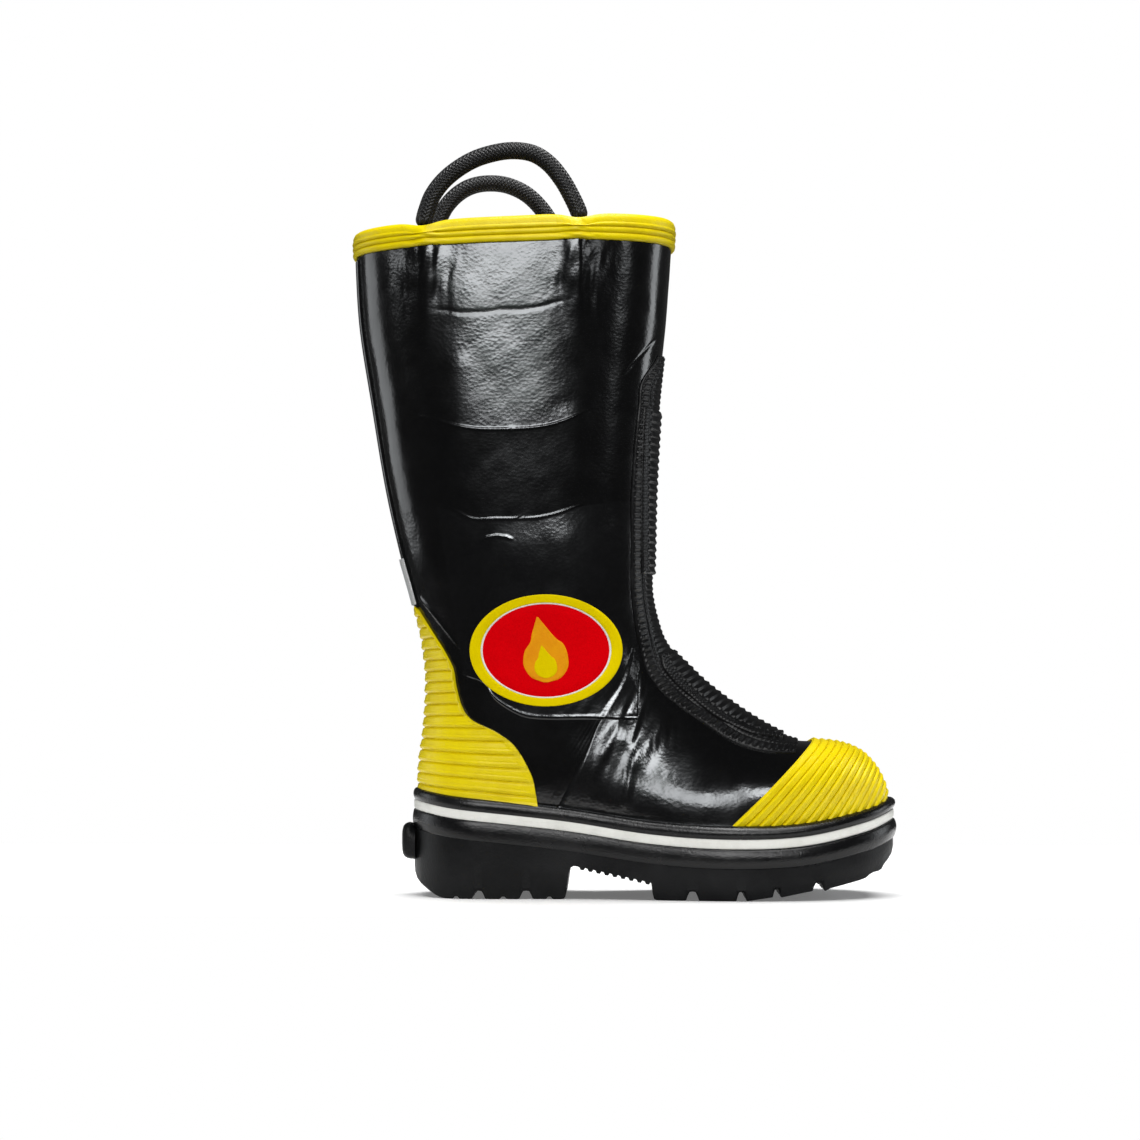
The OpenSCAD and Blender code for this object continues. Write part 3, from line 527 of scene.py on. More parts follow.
def matte_rubber(name, color, roughness, specular=0.35):
    look = Look(name, color, roughness, Specular_IOR_Level=specular)
    wide = look.noise(40, 4.0, 0.6)
    fine = look.noise(900, 2.0, 0.6)
    look.add_height(fine, 0.5)
    look.add_height(wide, 1.0)
    look.vary_roughness(wide, roughness - 0.06, roughness + 0.08)
    look.vary_color(wide, tuple(min(1.0, c * 1.5 + 0.002) for c in color), 0.4, 0.7)
    return look.finish(0.0004)


def coloured_rubber(name, color, worn, roughness=0.38, specular=0.22):
    look = Look(name, color, roughness, Specular_IOR_Level=specular)
    wide = look.noise(70, 5.0, 0.62)
    fine = look.noise(500, 3.0, 0.65)
    look.add_height(fine, 0.6)
    look.add_height(wide, 0.9)
    look.vary_roughness(wide, roughness - 0.08, roughness + 0.1)
    look.vary_color(wide, worn, 0.45, 0.72)
    return look.finish(0.0005)


def cloth(name, color, other, scale, roughness=0.9, sheen=0.25):
    """Plain weave: two crossed wave textures and loose fibre noise."""
    look = Look(name, color, roughness, Specular_IOR_Level=0.2, Sheen_Weight=sheen, Sheen_Roughness=0.5)
    warp = look.texture("ShaderNodeTexWave", scale, bands_direction="Z", Distortion=0.4)
    weft = look.texture("ShaderNodeTexWave", scale, bands_direction="DIAGONAL", Distortion=0.4)
    fibre = look.noise(1500, 3.0, 0.7)
    blotch = look.noise(60, 4.0, 0.6)
    woven = look.math("MULTIPLY", warp, weft)
    look.add_height(woven, 1.0)
    look.add_height(fibre, 0.4)
    mixed = look.math("ADD", look.math("MULTIPLY", woven, 0.5), look.math("MULTIPLY", blotch, 0.6))
    look.vary_color(mixed, other, 0.25, 0.75)
    look.vary_roughness(fibre, roughness - 0.08, min(1.0, roughness + 0.05))
    return look.finish(0.0004)


def brushed_steel():
    look = Look("steel_plate", (0.5, 0.51, 0.52), 0.35, Metallic=1.0)
    brush = look.noise(300, 3.0, 0.6, (0.06, 1, 1))
    blotch = look.noise(30, 4.0, 0.6)
    look.add_height(brush, 1.0)
    look.vary_roughness(brush, 0.28, 0.46)
    look.vary_color(blotch, (0.42, 0.42, 0.43), 0.4, 0.7)
    return look.finish(0.0001)


def reflective_tape():
    look = Look("reflective_tape", (0.62, 0.63, 0.63), 0.32, Metallic=0.35)
    cells = look.texture("ShaderNodeTexVoronoi", 900, Randomness=0.2)
    dirt = look.noise(90, 4.0, 0.6)
    look.add_height(cells, 1.0)
    look.vary_color(dirt, (0.5, 0.51, 0.5), 0.45, 0.75)
    look.vary_roughness(dirt, 0.26, 0.42)
    return look.finish(0.0002)


def rope_fibre():
    look = Look("braided_rope", (0.005, 0.005, 0.0053), 0.34, Specular_IOR_Level=0.42)
    fibre = look.noise(1400, 3.0, 0.7)
    blotch = look.noise(120, 3.0, 0.6)
    look.add_height(fibre, 1.0)
    look.vary_roughness(fibre, 0.28, 0.48)
    look.vary_color(blotch, (0.009, 0.009, 0.0095), 0.4, 0.7)
    return look.finish(0.0002)


YELLOW = (0.74, 0.59, 0.0)
BLACK_SKIN = glossy_rubber()
GUARD_BLACK = matte_rubber("guard_rubber", (0.003, 0.003, 0.0033), 0.32, 0.28)
SOLE_BLACK = matte_rubber("outsole_rubber", (0.004, 0.0042, 0.0046), 0.42, 0.13)
FOXING_BLACK = matte_rubber("foxing_rubber", (0.003, 0.0031, 0.0034), 0.24, 0.32)
YELLOW_RUBBER = coloured_rubber("yellow_rubber", YELLOW, (0.68, 0.52, 0.0))
BADGE_YELLOW = coloured_rubber("badge_yellow", (0.77, 0.6, 0.0), (0.73, 0.56, 0.0), 0.5, 0.01)
BADGE_RED = coloured_rubber("badge_red", (0.7, 0.0, 0.003), (0.65, 0.0, 0.003), 0.5, 0.01)
BADGE_WHITE = coloured_rubber("badge_white", (0.8, 0.79, 0.76), (0.75, 0.74, 0.7), 0.4, 0.05)
BADGE_AMBER = coloured_rubber("badge_amber", (0.82, 0.34, 0.005), (0.78, 0.27, 0.005), 0.4, 0.05)
PALE_RUBBER = coloured_rubber("pale_rubber", (0.7, 0.7, 0.66), (0.6, 0.6, 0.56), 0.4)
LINING_CLOTH = cloth("lining_cloth", (0.5, 0.38, 0.16), (0.6, 0.48, 0.24), 420)
FELT = cloth("felt", (0.26, 0.25, 0.22), (0.36, 0.34, 0.3), 200)
FOAM = cloth("closed_foam", (0.13, 0.14, 0.15), (0.2, 0.21, 0.22), 260)
INSOLE_CLOTH = cloth("insole_cloth", (0.05, 0.055, 0.06), (0.1, 0.105, 0.11), 380)
BOARD = cloth("fibre_board", (0.4, 0.28, 0.14), (0.5, 0.38, 0.2), 150, sheen=0.0)
STEEL = brushed_steel()
TAPE = reflective_tape()
ROPE = rope_fibre()
ROPE_END = matte_rubber("rope_end", (0.005, 0.005, 0.0053), 0.75, 0.03)


def place(obj, slot, *nodes, body="root"):
    """Ride a piece on its body and hide the CAD nodes it stands for; slot is not used."""
    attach(obj, body)
    if nodes:
        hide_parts(*nodes)
    return obj


# ---- Camera ----
CAMERA_PLACE = Vector((0.0, -1.6, 0.1253))
CAMERA_AIM = Vector((-0.0324, 0.0, 0.1993))


def make_camera():
    data = bpy.data.cameras.new("camera")
    data.sensor_width = 36.0
    data.lens = 81.9
    data.clip_start = 0.05
    data.clip_end = 40.0
    camera = bpy.data.objects.new("camera", data)
    camera.location = CAMERA_PLACE
    camera.rotation_euler = (CAMERA_AIM - CAMERA_PLACE).to_track_quat("-Z", "Y").to_euler()
    bpy.context.scene.collection.objects.link(camera)
    bpy.context.scene.camera = camera


make_camera()


# ---- Black upper: relief of the skin, then its panels ----
def ridge(x, z, line, width, height, step=0.0):
    """Raised line through side-view points, on a low swell of height step."""
    p = np.array(line, float)
    inside = smooth(x, p[0, 0] - 6, p[0, 0] + 10) * (1 - smooth(x, p[-1, 0] - 10, p[-1, 0] + 6))
    middle = curve(x, [tuple(q) for q in p])
    gap = z - middle
    body = height * np.exp(-(gap / width) ** 2)
    ply = step * np.exp(-np.abs(gap) / 22)
    return inside * (body + ply)


def segment_distance(x, z, line):
    """Distance in the side view to a polyline, and the share of the way along it."""
    p = np.array(line, float)
    best = np.full(np.shape(x), 1e9)
    share = np.zeros(np.shape(x))
    lengths = np.linalg.norm(np.diff(p, axis=0), axis=1)
    total = lengths.sum()
    start = 0.0
    for a, b, length in zip(p[:-1], p[1:], lengths):
        v = (b - a) / length
        s = np.clip((x - a[0]) * v[0] + (z - a[1]) * v[1], 0, length)
        gap = np.hypot(x - a[0] - s * v[0], z - a[1] - s * v[1])
        share = np.where(gap < best, (start + s) / total, share)
        best = np.minimum(best, gap)
        start += length
    return best, share


def crease(x, z, line, width, height):
    """Rounded line, raised or sunk by height, that fades out at both ends."""
    gap, share = segment_distance(x, z, line)
    taper = smooth(share, 0, 0.2) * (1 - smooth(share, 0.8, 1))
    return height * taper * np.exp(-(gap / width) ** 2)


UPPER_RIDGE = [(-120, 290), (-104, 285), (-90, 282), (-69, 281.4), (-48, 283), (-34, 287), (-18, 295)]
MIDDLE_RIDGE = [(-104, 235), (-90, 228), (-76, 227.8), (-55, 228), (-41, 230.5), (-25, 236)]
TOP_CREASE = [(-114, 354), (-90, 352), (-60, 354), (-34, 359)]
SMALL_ARC = [(-86, 214), (-81.5, 216.6), (-76, 217.6), (-70, 217), (-64, 214.5)]
REAR_DIAGONAL = [(-128, 187), (-116, 173), (-95, 147)]
QUARTER_SEAM = [(9, 156), (7.5, 151), (1, 130), (-9, 113), (-15, 103), (-22.5, 83), (-35.5, 56)]
FRONT_SEAM = [(23, 342), (12, 329), (0, 314.5)]
# folds of the ankle and vamp: points, half width, height
FOLDS = [
    ([(12, 139), (11, 128), (10, 116)], 1.2, 0.5),
    ([(20, 138), (15, 120), (6, 102), (-4, 88)], 5.0, 0.9),
    ([(28, 122), (22, 104), (12, 88), (2, 74)], 6.0, 1.0),
    ([(2, 108), (-6, 96), (-14, 82)], 4.0, 0.7),
    ([(12, 96), (6, 82), (2, 62), (0, 52)], 2.0, 0.6),
    ([(44, 100), (56, 84), (76, 66)], 10.0, 0.5),
    ([(-18, 62), (10, 60), (40, 58), (64, 55)], 17.0, 0.5),
    ([(-30, 300), (-26, 270), (-25, 240)], 9.0, 0.4),
    ([(-100, 330), (-97, 300), (-96, 262)], 9.0, 0.3),
]


def rope_wrinkles(x, y, z):
    """Short upright wrinkles of the skin around the rope legs."""
    side = np.sign(y)
    near = hump(x, HANDLE_BACK_X, 17) + hump(x, front_x(side), 17)
    fold = waves(x, y * 0.2, z * 0.12, 41, 9) + 0.6 * waves(x, y * 0.2, z * 0.3, 43, 5)
    return 0.3 * near * smooth(z, 338, 372) * fold


def ankle_streaks(x, z):
    """Fine slanting folds fanning down from the bend of the ankle."""
    away = np.hypot(x - 4, (z - 92) * 0.8)
    fan = np.degrees(np.arctan2(x - 34, z - 190))
    wide = waves(fan * 2.2, 0 * x, away * 0.05, 51, 7)
    fine = waves(fan * 4.1, 0 * x, away * 0.12, 53, 6)
    near = np.exp(-(away / 34) ** 2) * smooth(z, 40, 60) * (1 - smooth(z, 112, 134))
    return 0.16 * (wide + 0.7 * fine) * near


def between(first, second, u, v):
    """Side-view points a share v of the way from one line to another, at rows u along both."""
    start = along(np.array(first, float), u)[None]
    end = along(np.array(second, float), u)[None]
    return start + (end - start) * v


def skin_relief(p):
    """Height of the skin above its plain form, in mm."""
    x, y, z = p[..., 0], p[..., 1], p[..., 2]
    flank = smooth(np.abs(y), 14, 26)
    h = 0.3 * waves(x, y, z, 3, 90) + 0.12 * waves(x, y, z, 5, 38) + 0.045 * waves(x, y, z, 7, 16)
    h = h + flank * rope_wrinkles(x, y, z)
    h = h + flank * ridge(x, z, UPPER_RIDGE, 0.6, 0.34, 0.8)
    h = h + flank * ridge(x, z, MIDDLE_RIDGE, 0.6, 0.34, 0.2)
    h = h + flank * ridge(x, z + 0.8 * waves(x, 0 * x, 0 * z, 61, 22), TOP_CREASE, 1.6, -0.16)
    h = h + flank * crease(x, z, SMALL_ARC, 0.8, 0.35)
    h = h + flank * crease(x, z, REAR_DIAGONAL, 0.7, 0.5)
    h = h + flank * crease(x, z, FRONT_SEAM, 0.7, -0.4)
    for line, width, height in FOLDS:
        h = h + flank * crease(x, z, line, width, height)
    return h + flank * ankle_streaks(x, z)


CORE = np.array([-60.0, 0.0, 200.0])


def embossed(grid, height):
    """A grid of the skin moved outward by a relief."""
    x, z = grid[..., 0], grid[..., 2]
    core = np.stack([np.clip(x, -75, 120), 0 * x, np.clip(z, 55, 400)], -1)
    return grid + grid_normals(grid, core) * height[..., None]


def seam_ring(a):
    """Ring on which the leg panels end at angle a, following the quarter seam on the flanks."""
    return np.interp(np.abs(a), SEAM_FLANK[:, 0], SEAM_FLANK[:, 1])


def flank_seam_table():
    """Ring by angle where the quarter seam of the side view lies, in small steps."""
    line = np.array(QUARTER_SEAM[1:], float)
    p = along(line, np.linspace(0, len(line) - 1, 60))
    t = ring_of(p[:, 0], p[:, 1])
    a = angle_of(p[:, 0], p[:, 1], t)
    rising = np.maximum.accumulate(a + np.arange(60) * 1e-4)
    table = [(0.0, 9.4)]
    table += [(float(x), float(y)) for x, y in zip(rising, t)]
    table.append((180.0, float(t[-1]) + 0.4))
    return np.array(table)


SEAM_FLANK = flank_seam_table()
LEG_COLUMNS = 217
LEG_ROWS = 640


def column_angles(n):
    """Angles from front to back, closer together where the ring turns."""
    u = np.linspace(0, 1, n)
    return 0.02 + 179.96 * (u - 0.035 * np.sin(4 * np.pi * u) * 0.5)


def angles_around(half):
    """Angles from the front round the medial side to the back, then on to the front."""
    a = column_angles(half)
    return np.concatenate([a, -a[::-1]])


def ring_distances():
    """Mean distance down the boot of each ring from the rim."""
    middle = (RINGS[:, 0:2] + RINGS[:, 2:4]) / 2
    steps = np.linalg.norm(np.diff(middle[1:], axis=0), axis=1)
    return np.concatenate([[0], np.cumsum(steps)])


DISTANCES = ring_distances()


def share_of_ring(t):
    return np.interp(t, np.arange(1, LAST + 1), DISTANCES)


def ring_at_share(distance):
    return np.interp(distance, DISTANCES, np.arange(1, LAST + 1))


def leg_panel(side):
    """One side of the shaft, from the rim to the quarter seam."""
    a = column_angles(LEG_COLUMNS)[None, :]
    low = share_of_ring(seam_ring(a) + 0.12)
    t = ring_at_share(np.linspace(0, 1, LEG_ROWS)[:, None] * low)
    angle = side * a + 0 * t
    base = skin(t, angle)
    outer = embossed(base, skin_relief(base))
    inner = skin(t, angle, -LEG_WALL)
    node = "leg_" + WORD[side]
    place(skin_mesh(node + "_skin", outer, inner, BLACK_SKIN, 12), "black_rubber", node)


leg_panel(LATERAL)
leg_panel(MEDIAL)


def vamp_piece():
    """Vamp whose back edge laps over the leg panels by a small step."""
    a = angles_around(96)[None, :]
    u = np.linspace(0, 1, 190)[:, None]
    start = seam_ring(a) - 0.10
    t = start + u * (LAST - 0.02 - start)
    base = skin(t, a + 0 * t)
    lap = 0.5 * (1 - 0.6 * smooth(u, 0.02, 0.12)) + 0 * a
    x = base[..., 0]
    core = np.stack([np.clip(x, -60, 120), 0 * x, 0 * x + 60.0], -1)
    n = grid_normals(base, core, around=True)
    outer = base + n * (skin_relief(base) + lap * smooth(u, -0.001, 0.006) + 0.05)[..., None]
    inner = skin(t, a + 0 * t, -VAMP_WALL)[::-1]
    rings = np.concatenate([outer, inner])
    return place(loop_mesh("vamp_skin", rings, BLACK_SKIN, True, 50), "black_rubber", "vamp")


vamp_piece()


# ---- Inner layers seen from above ----
def push(t, a):
    """How far the inner layers stand in from the toe cap, the heel counter and the shin padding."""
    a = np.abs(a)
    toe = 2.8 * smooth(t, 17.4, 18.2) * (1 - smooth(a, 132, 150))
    heel = 2.4 * smooth(t, 7.6, 8.3) * smooth(a, 60, 80) * (1 - smooth(t, 13.5, 14.5))
    heel = heel * (1 - smooth(t, 11.5, 13) * smooth(a, 110, 140))
    shin = 3.8 * smooth(t, 2.2, 3) * (1 - smooth(a, 42, 58)) * (1 - smooth(t, 9.4, 10.4))
    return toe + heel + shin


def inner_layer(name, node, out_d, in_d, material, slot, wrinkle):
    """Sock between two layers inside the skin, with soft wrinkles on its inner face."""
    a = angles_around(60)[None, :]
    u = np.linspace(0, 1, 150)[:, None]
    t = RIM + u * (LAST - 1.6 - RIM)
    a = a + 0 * t
    outer = skin(t, a, out_d - push(t, a), -2.6)
    inner = skin(t, a, in_d - push(t, a), -2.6)
    n = grid_normals(inner, CORE, around=True)
    fold = wrinkle * waves(inner[..., 0], inner[..., 1], inner[..., 2], 11, 60) * smooth(u, 0.02, 0.1)
    inner = inner + n * np.minimum(fold, 0.3)[..., None]
    rings = np.concatenate([outer, inner[::-1]])
    return place(loop_mesh(name, rings, material, True, 60), slot, node)


inner_layer("lining_sock", "lining", -6.6, -7.6, LINING_CLOTH, "lining_cloth", 0.8)
inner_layer("felt_sock", "insulation", -3.5, -6.3, FELT, "felt", 0.0)


# ---- Collar band ----
# distance down the shaft from the rim's ring to the next
ROW_STEP = 51.0


def collar_section():
    """Depth below the rim and layer of the ribbed band: three rounded ribs and a rolled lip."""
    section = [(0.35, -2.6), (-0.9, -2.5), (-1.6, -1.6), (-1.9, -0.4), (-1.5, 0.9), (-0.7, 1.9)]
    ribs = [(0.0, 4.2), (4.5, 8.5), (8.8, 12.9)]
    for lo, hi in ribs:
        for f in np.linspace(0.06, 0.94, 9):
            section.append((lo + (hi - lo) * f, 1.55 + 1.0 * math.sin(math.pi * f) ** 0.55))
        section.append((hi + 0.15, 1.3))
    section[-1] = (13.1, 1.2)
    section += [(13.2, 0.5), (13.0, 0.05), (0.35, 0.05)]
    return section


def collar_piece():
    """Ribbed band round the rim, with small lumps over the rope legs."""
    half = np.linspace(0.3, 179.7, 170)
    a = np.concatenate([half, -half[::-1]])
    rings = []
    for depth, layer in collar_section():
        t = RIM + depth / ROW_STEP * np.where(depth < 0, 5.1, 1.0)
        plain = skin(np.full(a.shape, t), a, layer)
        wobble = 0.35 * waves(plain[:, 0], plain[:, 1], plain[:, 2] * 0.2, 21, 45)
        plain[:, 2] += wobble
        near = pocket(plain[:, 0], np.full(a.shape, 400.0), np.sign(plain[:, 1]))
        # the lip dips where a loop folds down over it
        plain[:, 2] -= 3.1 * near * max(0.0, 1 - max(depth, 0.0) / 5)
        if layer > 0.3:
            lump = near * waves(plain[:, 0], plain[:, 1], plain[:, 2] * 3, 8, 9)
            plain[:, 1] += np.sign(plain[:, 1]) * 0.75 * lump
            plain[:, 2] += 0.4 * near * waves(plain[:, 0], 0 * plain[:, 1], 0 * plain[:, 2], 9, 12)
        rings.append(plain)
    rings = np.transpose(np.array(rings), (1, 0, 2))
    collar = loop_mesh("collar_ribbed", rings, YELLOW_RUBBER, True, 40)
    place(collar, "yellow_rubber", "collar_band")


collar_piece()


# ---- Sole ----
def plan(q, d):
    """Point of the sole's plan at angle q, moved in by d."""
    x = SOLE_MID + SOLE_HALF * np.cos(q)
    side = np.where(np.sin(q) < 0, LATERAL, MEDIAL)
    return SOLE_MID + (SOLE_HALF - d) * np.cos(q), side * half_width(x, side) * (1 - d / SOLE_HALF_WIDTH)


def band(name, node, section, material, slot, count=420):
    """Band round the sole with a section of insets and heights above the parting line."""
    q = np.linspace(0, 2 * np.pi, count, endpoint=False)
    swell = 1 + 0.9 * smooth(plan(q, 0)[0], 0, 160)
    rings = []
    for inset, height in section:
        d = np.where(inset < 0, inset * swell, inset)
        x, y = plan(q, d)
        rings.append(np.stack([x, y, parting(x) + height + 0.12 * waves(x, y, 0 * x, 31, 60)], -1))
    rings = np.transpose(np.array(rings), (1, 0, 2))
    return place(loop_mesh(name, rings, material, True, 40), slot, node)


def rounded_section(lo, hi, bulge, inner, corner, points=14):
    """Inset and height of a band whose outer face bulges and whose corners are rounded."""
    section = [(inner, lo)]
    for f in np.linspace(0, 1, points):
        z = lo + (hi - lo) * f
        edge = min(f, 1 - f) * (hi - lo)
        turn = corner * (1 - math.sqrt(max(0.0, 1 - (1 - min(1.0, edge / corner)) ** 2)))
        section.append((turn - bulge * math.sin(math.pi * min(1.0, max(0.0, f))) ** 0.8, z))
    section.append((inner, hi))
    return section


band("foxing_lower", "lower_foxing", rounded_section(0.0, 12.5, 1.05, 3.4, 1.3, 22),
     FOXING_BLACK, "black_rubber")
band("foxing_pale_stripe", "foxing_stripe", rounded_section(12.4, 18.0, 0.25, 3.4, 0.35, 12),
     PALE_RUBBER, "pale_rubber")
band("foxing_upper", "upper_foxing",
     [(4.6, 17.9), (0.5, 17.9), (0.05, 18.3), (-0.5, 19.4), (-0.75, 21.0), (-0.6, 22.6), (-0.1, 23.9),
      (0.7, 24.8), (1.9, 25.5), (3.3, 25.9), (4.6, 26.0)], FOXING_BLACK, "black_rubber")


# x of the toothed arch between the heel block and the forefoot
ARCH_START = -27.0
ARCH_END = 17.0
# x of each notch's middle, its half width and depth
HEEL_NOTCHES = [(-100, 1.8, 1.5), (-86.5, 4, 5), (-71.7, 1.8, 1.5), (-58, 4, 5), (-44, 1.8, 1.5)]
TOE_NOTCHES = [(41.5, 3.8, 5.5), (70.5, 3, 5.5), (91.5, 2.4, 5), (116.5, 3.6, 5)]
TEETH = 9


def notch(c, w, deep, base):
    """Rounded trapezoid notch across the tread."""
    return [(c - w - 0.6, base), (c - w, base + 0.25), (c - w * 0.75, base + deep * 0.55),
            (c - w * 0.45, base + deep * 0.95), (c, base + deep), (c + w * 0.45, base + deep * 0.95),
            (c + w * 0.75, base + deep * 0.55), (c + w, base + 0.25), (c + w + 0.6, base)]


def tread_profile():
    """Lower face of the tread along the outer edge: x and z from heel to toe."""
    line = [(-127.7, 22), (-127.5, 18.5), (-126.9, 14.5), (-125.4, 11), (-122.5, 8), (-118, 4.9),
            (-113.5, 2.1), (-110.5, 0.8), (-107.5, 0.15), (-105, 0)]
    for c, w, deep in HEEL_NOTCHES:
        line += notch(c, w, deep, 0)
    line += [(-37, 0), (-35.4, 0.3), (-34.4, 1.4), (-33.4, 8), (-32.2, 16), (-31.2, 18.8),
             (-29.5, 19.8)]
    tooth = (ARCH_END - ARCH_START) / TEETH
    for i in range(TEETH):
        x = ARCH_START + i * tooth
        z = 19.5 - 9.0 * i / TEETH
        line += [(x, z), (x + tooth * 0.2, z - 0.4), (x + tooth * 0.35, z - 2.0),
                 (x + tooth * 0.75, z - 2.2), (x + tooth * 0.9, z - 0.9)]
    line += [(ARCH_END + dx, z) for dx, z in ((0.2, 9.8), (0.8, 4), (1.6, 0.9), (2.8, 0.1), (8, 0))]
    for c, w, deep in TOE_NOTCHES:
        line += notch(c, w, deep, max(0.0, float(curve(c, GROUND))))
        if c < 70:
            line += [(c + 12, 0)]
    line += [(x, float(curve(x, GROUND))) for x in (124, 130, 136, 142, 146)]
    line += [(148.5, 14.6), (151, 15.8), (154, 16.2), (156.4, 17.4), (158, 20), (161, 23), (163.6, 26),
             (165, 29.5)]
    return line


def sole_section(x, z):
    """Section across the tread at x, its lower face at z: walls, side grooves, middle channel."""
    top = float(parting(x)) + 0.6
    base = max(0.0, float(curve(x, GROUND))) if x > ARCH_END else 0.0
    wl = float(half_width(np.array(x), LATERAL)) * 0.994
    wm = float(half_width(np.array(x), MEDIAL)) * 0.994
    trim = 0.93 if x > ARCH_END else 0.955
    cut = min(max(z + 0.5, base + 6.5), top - 3)
    low = min(z + 1.6, cut - 0.2)
    mid = min(6.0, wl / 2.4)
    lug = z < base + 3 and (x < -36 or ARCH_END + 1 < x < 146)
    up = 3.5 if lug else 0.0
    points = [(-wl, top), (-wl * 0.999, (top + cut) / 2), (-wl * 0.995, cut),
              (-wl * (0.99 + trim) / 2, (cut + low) / 2), (-wl * (trim + 0.012), low), (-wl * trim, z),
              (-wl * 0.7, z), (-wl * 0.62, z + up * 0.2), (-wl * 0.58, z + up * 0.2), (-wl * 0.5, z)]
    inner = [(-mid - 1.2, z), (-mid, z + up * 0.5), (-mid + 0.8, z + up), (mid - 0.8, z + up),
             (mid, z + up * 0.5), (mid + 1.2, z)]
    right = [(-y / wl * wm, h) for y, h in points[::-1]]
    return [(x, y, h) for y, h in points + inner + right]


def spur_section(x, lo, hi, w, count):
    """Outline of a rounded box at x."""
    q = np.linspace(0, 2 * np.pi, count, endpoint=False) + np.pi / 2 + np.pi / count
    c = np.cos(q)
    s = np.sin(q)
    y = w * np.sign(c) * np.abs(c) ** 0.5
    z = (lo + hi) / 2 + (hi - lo) / 2 * np.sign(s) * np.abs(s) ** 0.5
    return [(x, float(a), float(b)) for a, b in zip(y, z)]


def outsole_piece():
    rings = [sole_section(x, z) for x, z in tread_profile()]
    obj = loop_mesh("outsole_tread", np.array(rings, float), SOLE_BLACK, False, 40)
    return place(obj, "outsole_rubber", "outsole")


outsole_piece()


def spur_piece():
    """Kick-off spur: rounded block on the back of the heel."""
    # x, lowest z, highest z, half width
    rows = [(-134.6, 27.5, 39.5, 13.5), (-134.5, 26, 41, 15), (-134.1, 24.6, 42.4, 16.3),
            (-133.3, 23.4, 43.4, 17.2), (-131.8, 22.4, 43.9, 17.8), (-129.9, 22, 43.6, 18),
            (-129.2, 21.9, 42.5, 18), (-126.5, 21.8, 40, 18)]
    rings = np.array([spur_section(*row, 40) for row in rows])
    return place(loop_mesh("heel_spur", rings, SOLE_BLACK, False, 40), "outsole_rubber")


spur_piece()


# ---- Yellow guards ----
HEEL_GUARD_EDGE = [(57, -50), (72, -52.5), (80, -55), (94, -65), (101, -76), (107, -90), (114, -96),
                   (127, -100), (138, -102), (148, -107), (159, -114), (171, -122), (178, -126.5)]
# spacing of the heel guard's ribs, and the heights they run between
HEEL_RIB = 6.8
HEEL_TOP = 177.0
HEEL_LOW = 63.0


def saw(phase, sharp=0.22):
    """Shingle profile: a long rise and a short drop, 0 to 1."""
    f = phase - np.floor(phase)
    return np.where(f < 1 - sharp, f / (1 - sharp), (1 - f) / sharp)


def groove(phase, width):
    """Narrow valley at each whole number of the phase, 0 to 1."""
    f = phase - np.round(phase)
    return np.exp(-(f / width) ** 2)


def heel_guard_piece():
    """Guard round the heel, with shingled ribs one below another."""
    z = np.linspace(HEEL_TOP, HEEL_LOW, 380)[:, None]
    s = np.linspace(-1, 1, 140)[None, :]
    xb = back_x(z)
    xf = curve(z, HEEL_GUARD_EDGE)
    x = xb + (xf - xb) * s * s
    low = np.clip(1 - (z - HEEL_LOW) / 45, 0, 1)
    tilt = low * (parting(xb) - parting(x)) * 0.9
    height = z - tilt
    side = np.where(s < 0, LATERAL, MEDIAL) + 0 * x
    base = on_side(x, height, side)
    phase = (HEEL_TOP - z) / HEEL_RIB + 0.06 * waves(x, 0 * x, z, 13, 50) + 0.1 * np.abs(s)
    rib = 0.35 + 0.65 * saw(phase, 0.3) + 0.12 * waves(x * 0.3, z, 0 * x, 17, 9)
    cut = groove(phase, 0.08) + 0.2 * groove(phase + 0.47, 0.05)
    rim = 0.5 * smooth(np.abs(s), 0.965, 0.98) * (1 - 0.4 * groove(phase, 0.12))
    h = 1.2 + 1.3 * rib - 1.05 * cut * (1 - smooth(np.abs(s), 0.96, 0.975)) + rim
    core = np.array([-40.0, 0, 110.0])
    layer_on("heel_guard_ribbed", base, core, 0.1, h, YELLOW_RUBBER, "yellow_rubber", "heel_guard")


heel_guard_piece()


# the toe guard's ribs fan out from this pivot; angles in degrees
FAN_X = 219.0
FAN_Z = 193.0
FAN_START = 44.0
FAN_END = 66.4
TOE_RIB = 1.5
# height of the foxing's upper edge above the parting line
FOXING_EDGE = 24.8


def fan_reach(theta, top_side):
    """Distance from the fan's pivot to the top line or to the foxing's upper edge."""

    def inside(reach):
        x = FAN_X - reach * np.cos(theta)
        z = FAN_Z - reach * np.sin(theta)
        if not top_side:
            return z < parting(x) + FOXING_EDGE
        bx, bz, fx, fz = ring_parts(ring_of(x, z), 0)[:4]
        return ((x - bx) * (fx - bx) + (z - bz) * (fz - bz)) / ((fx - bx) ** 2 + (fz - bz) ** 2) < 1

    return halve(theta.shape, 40, 230, inside, 30)


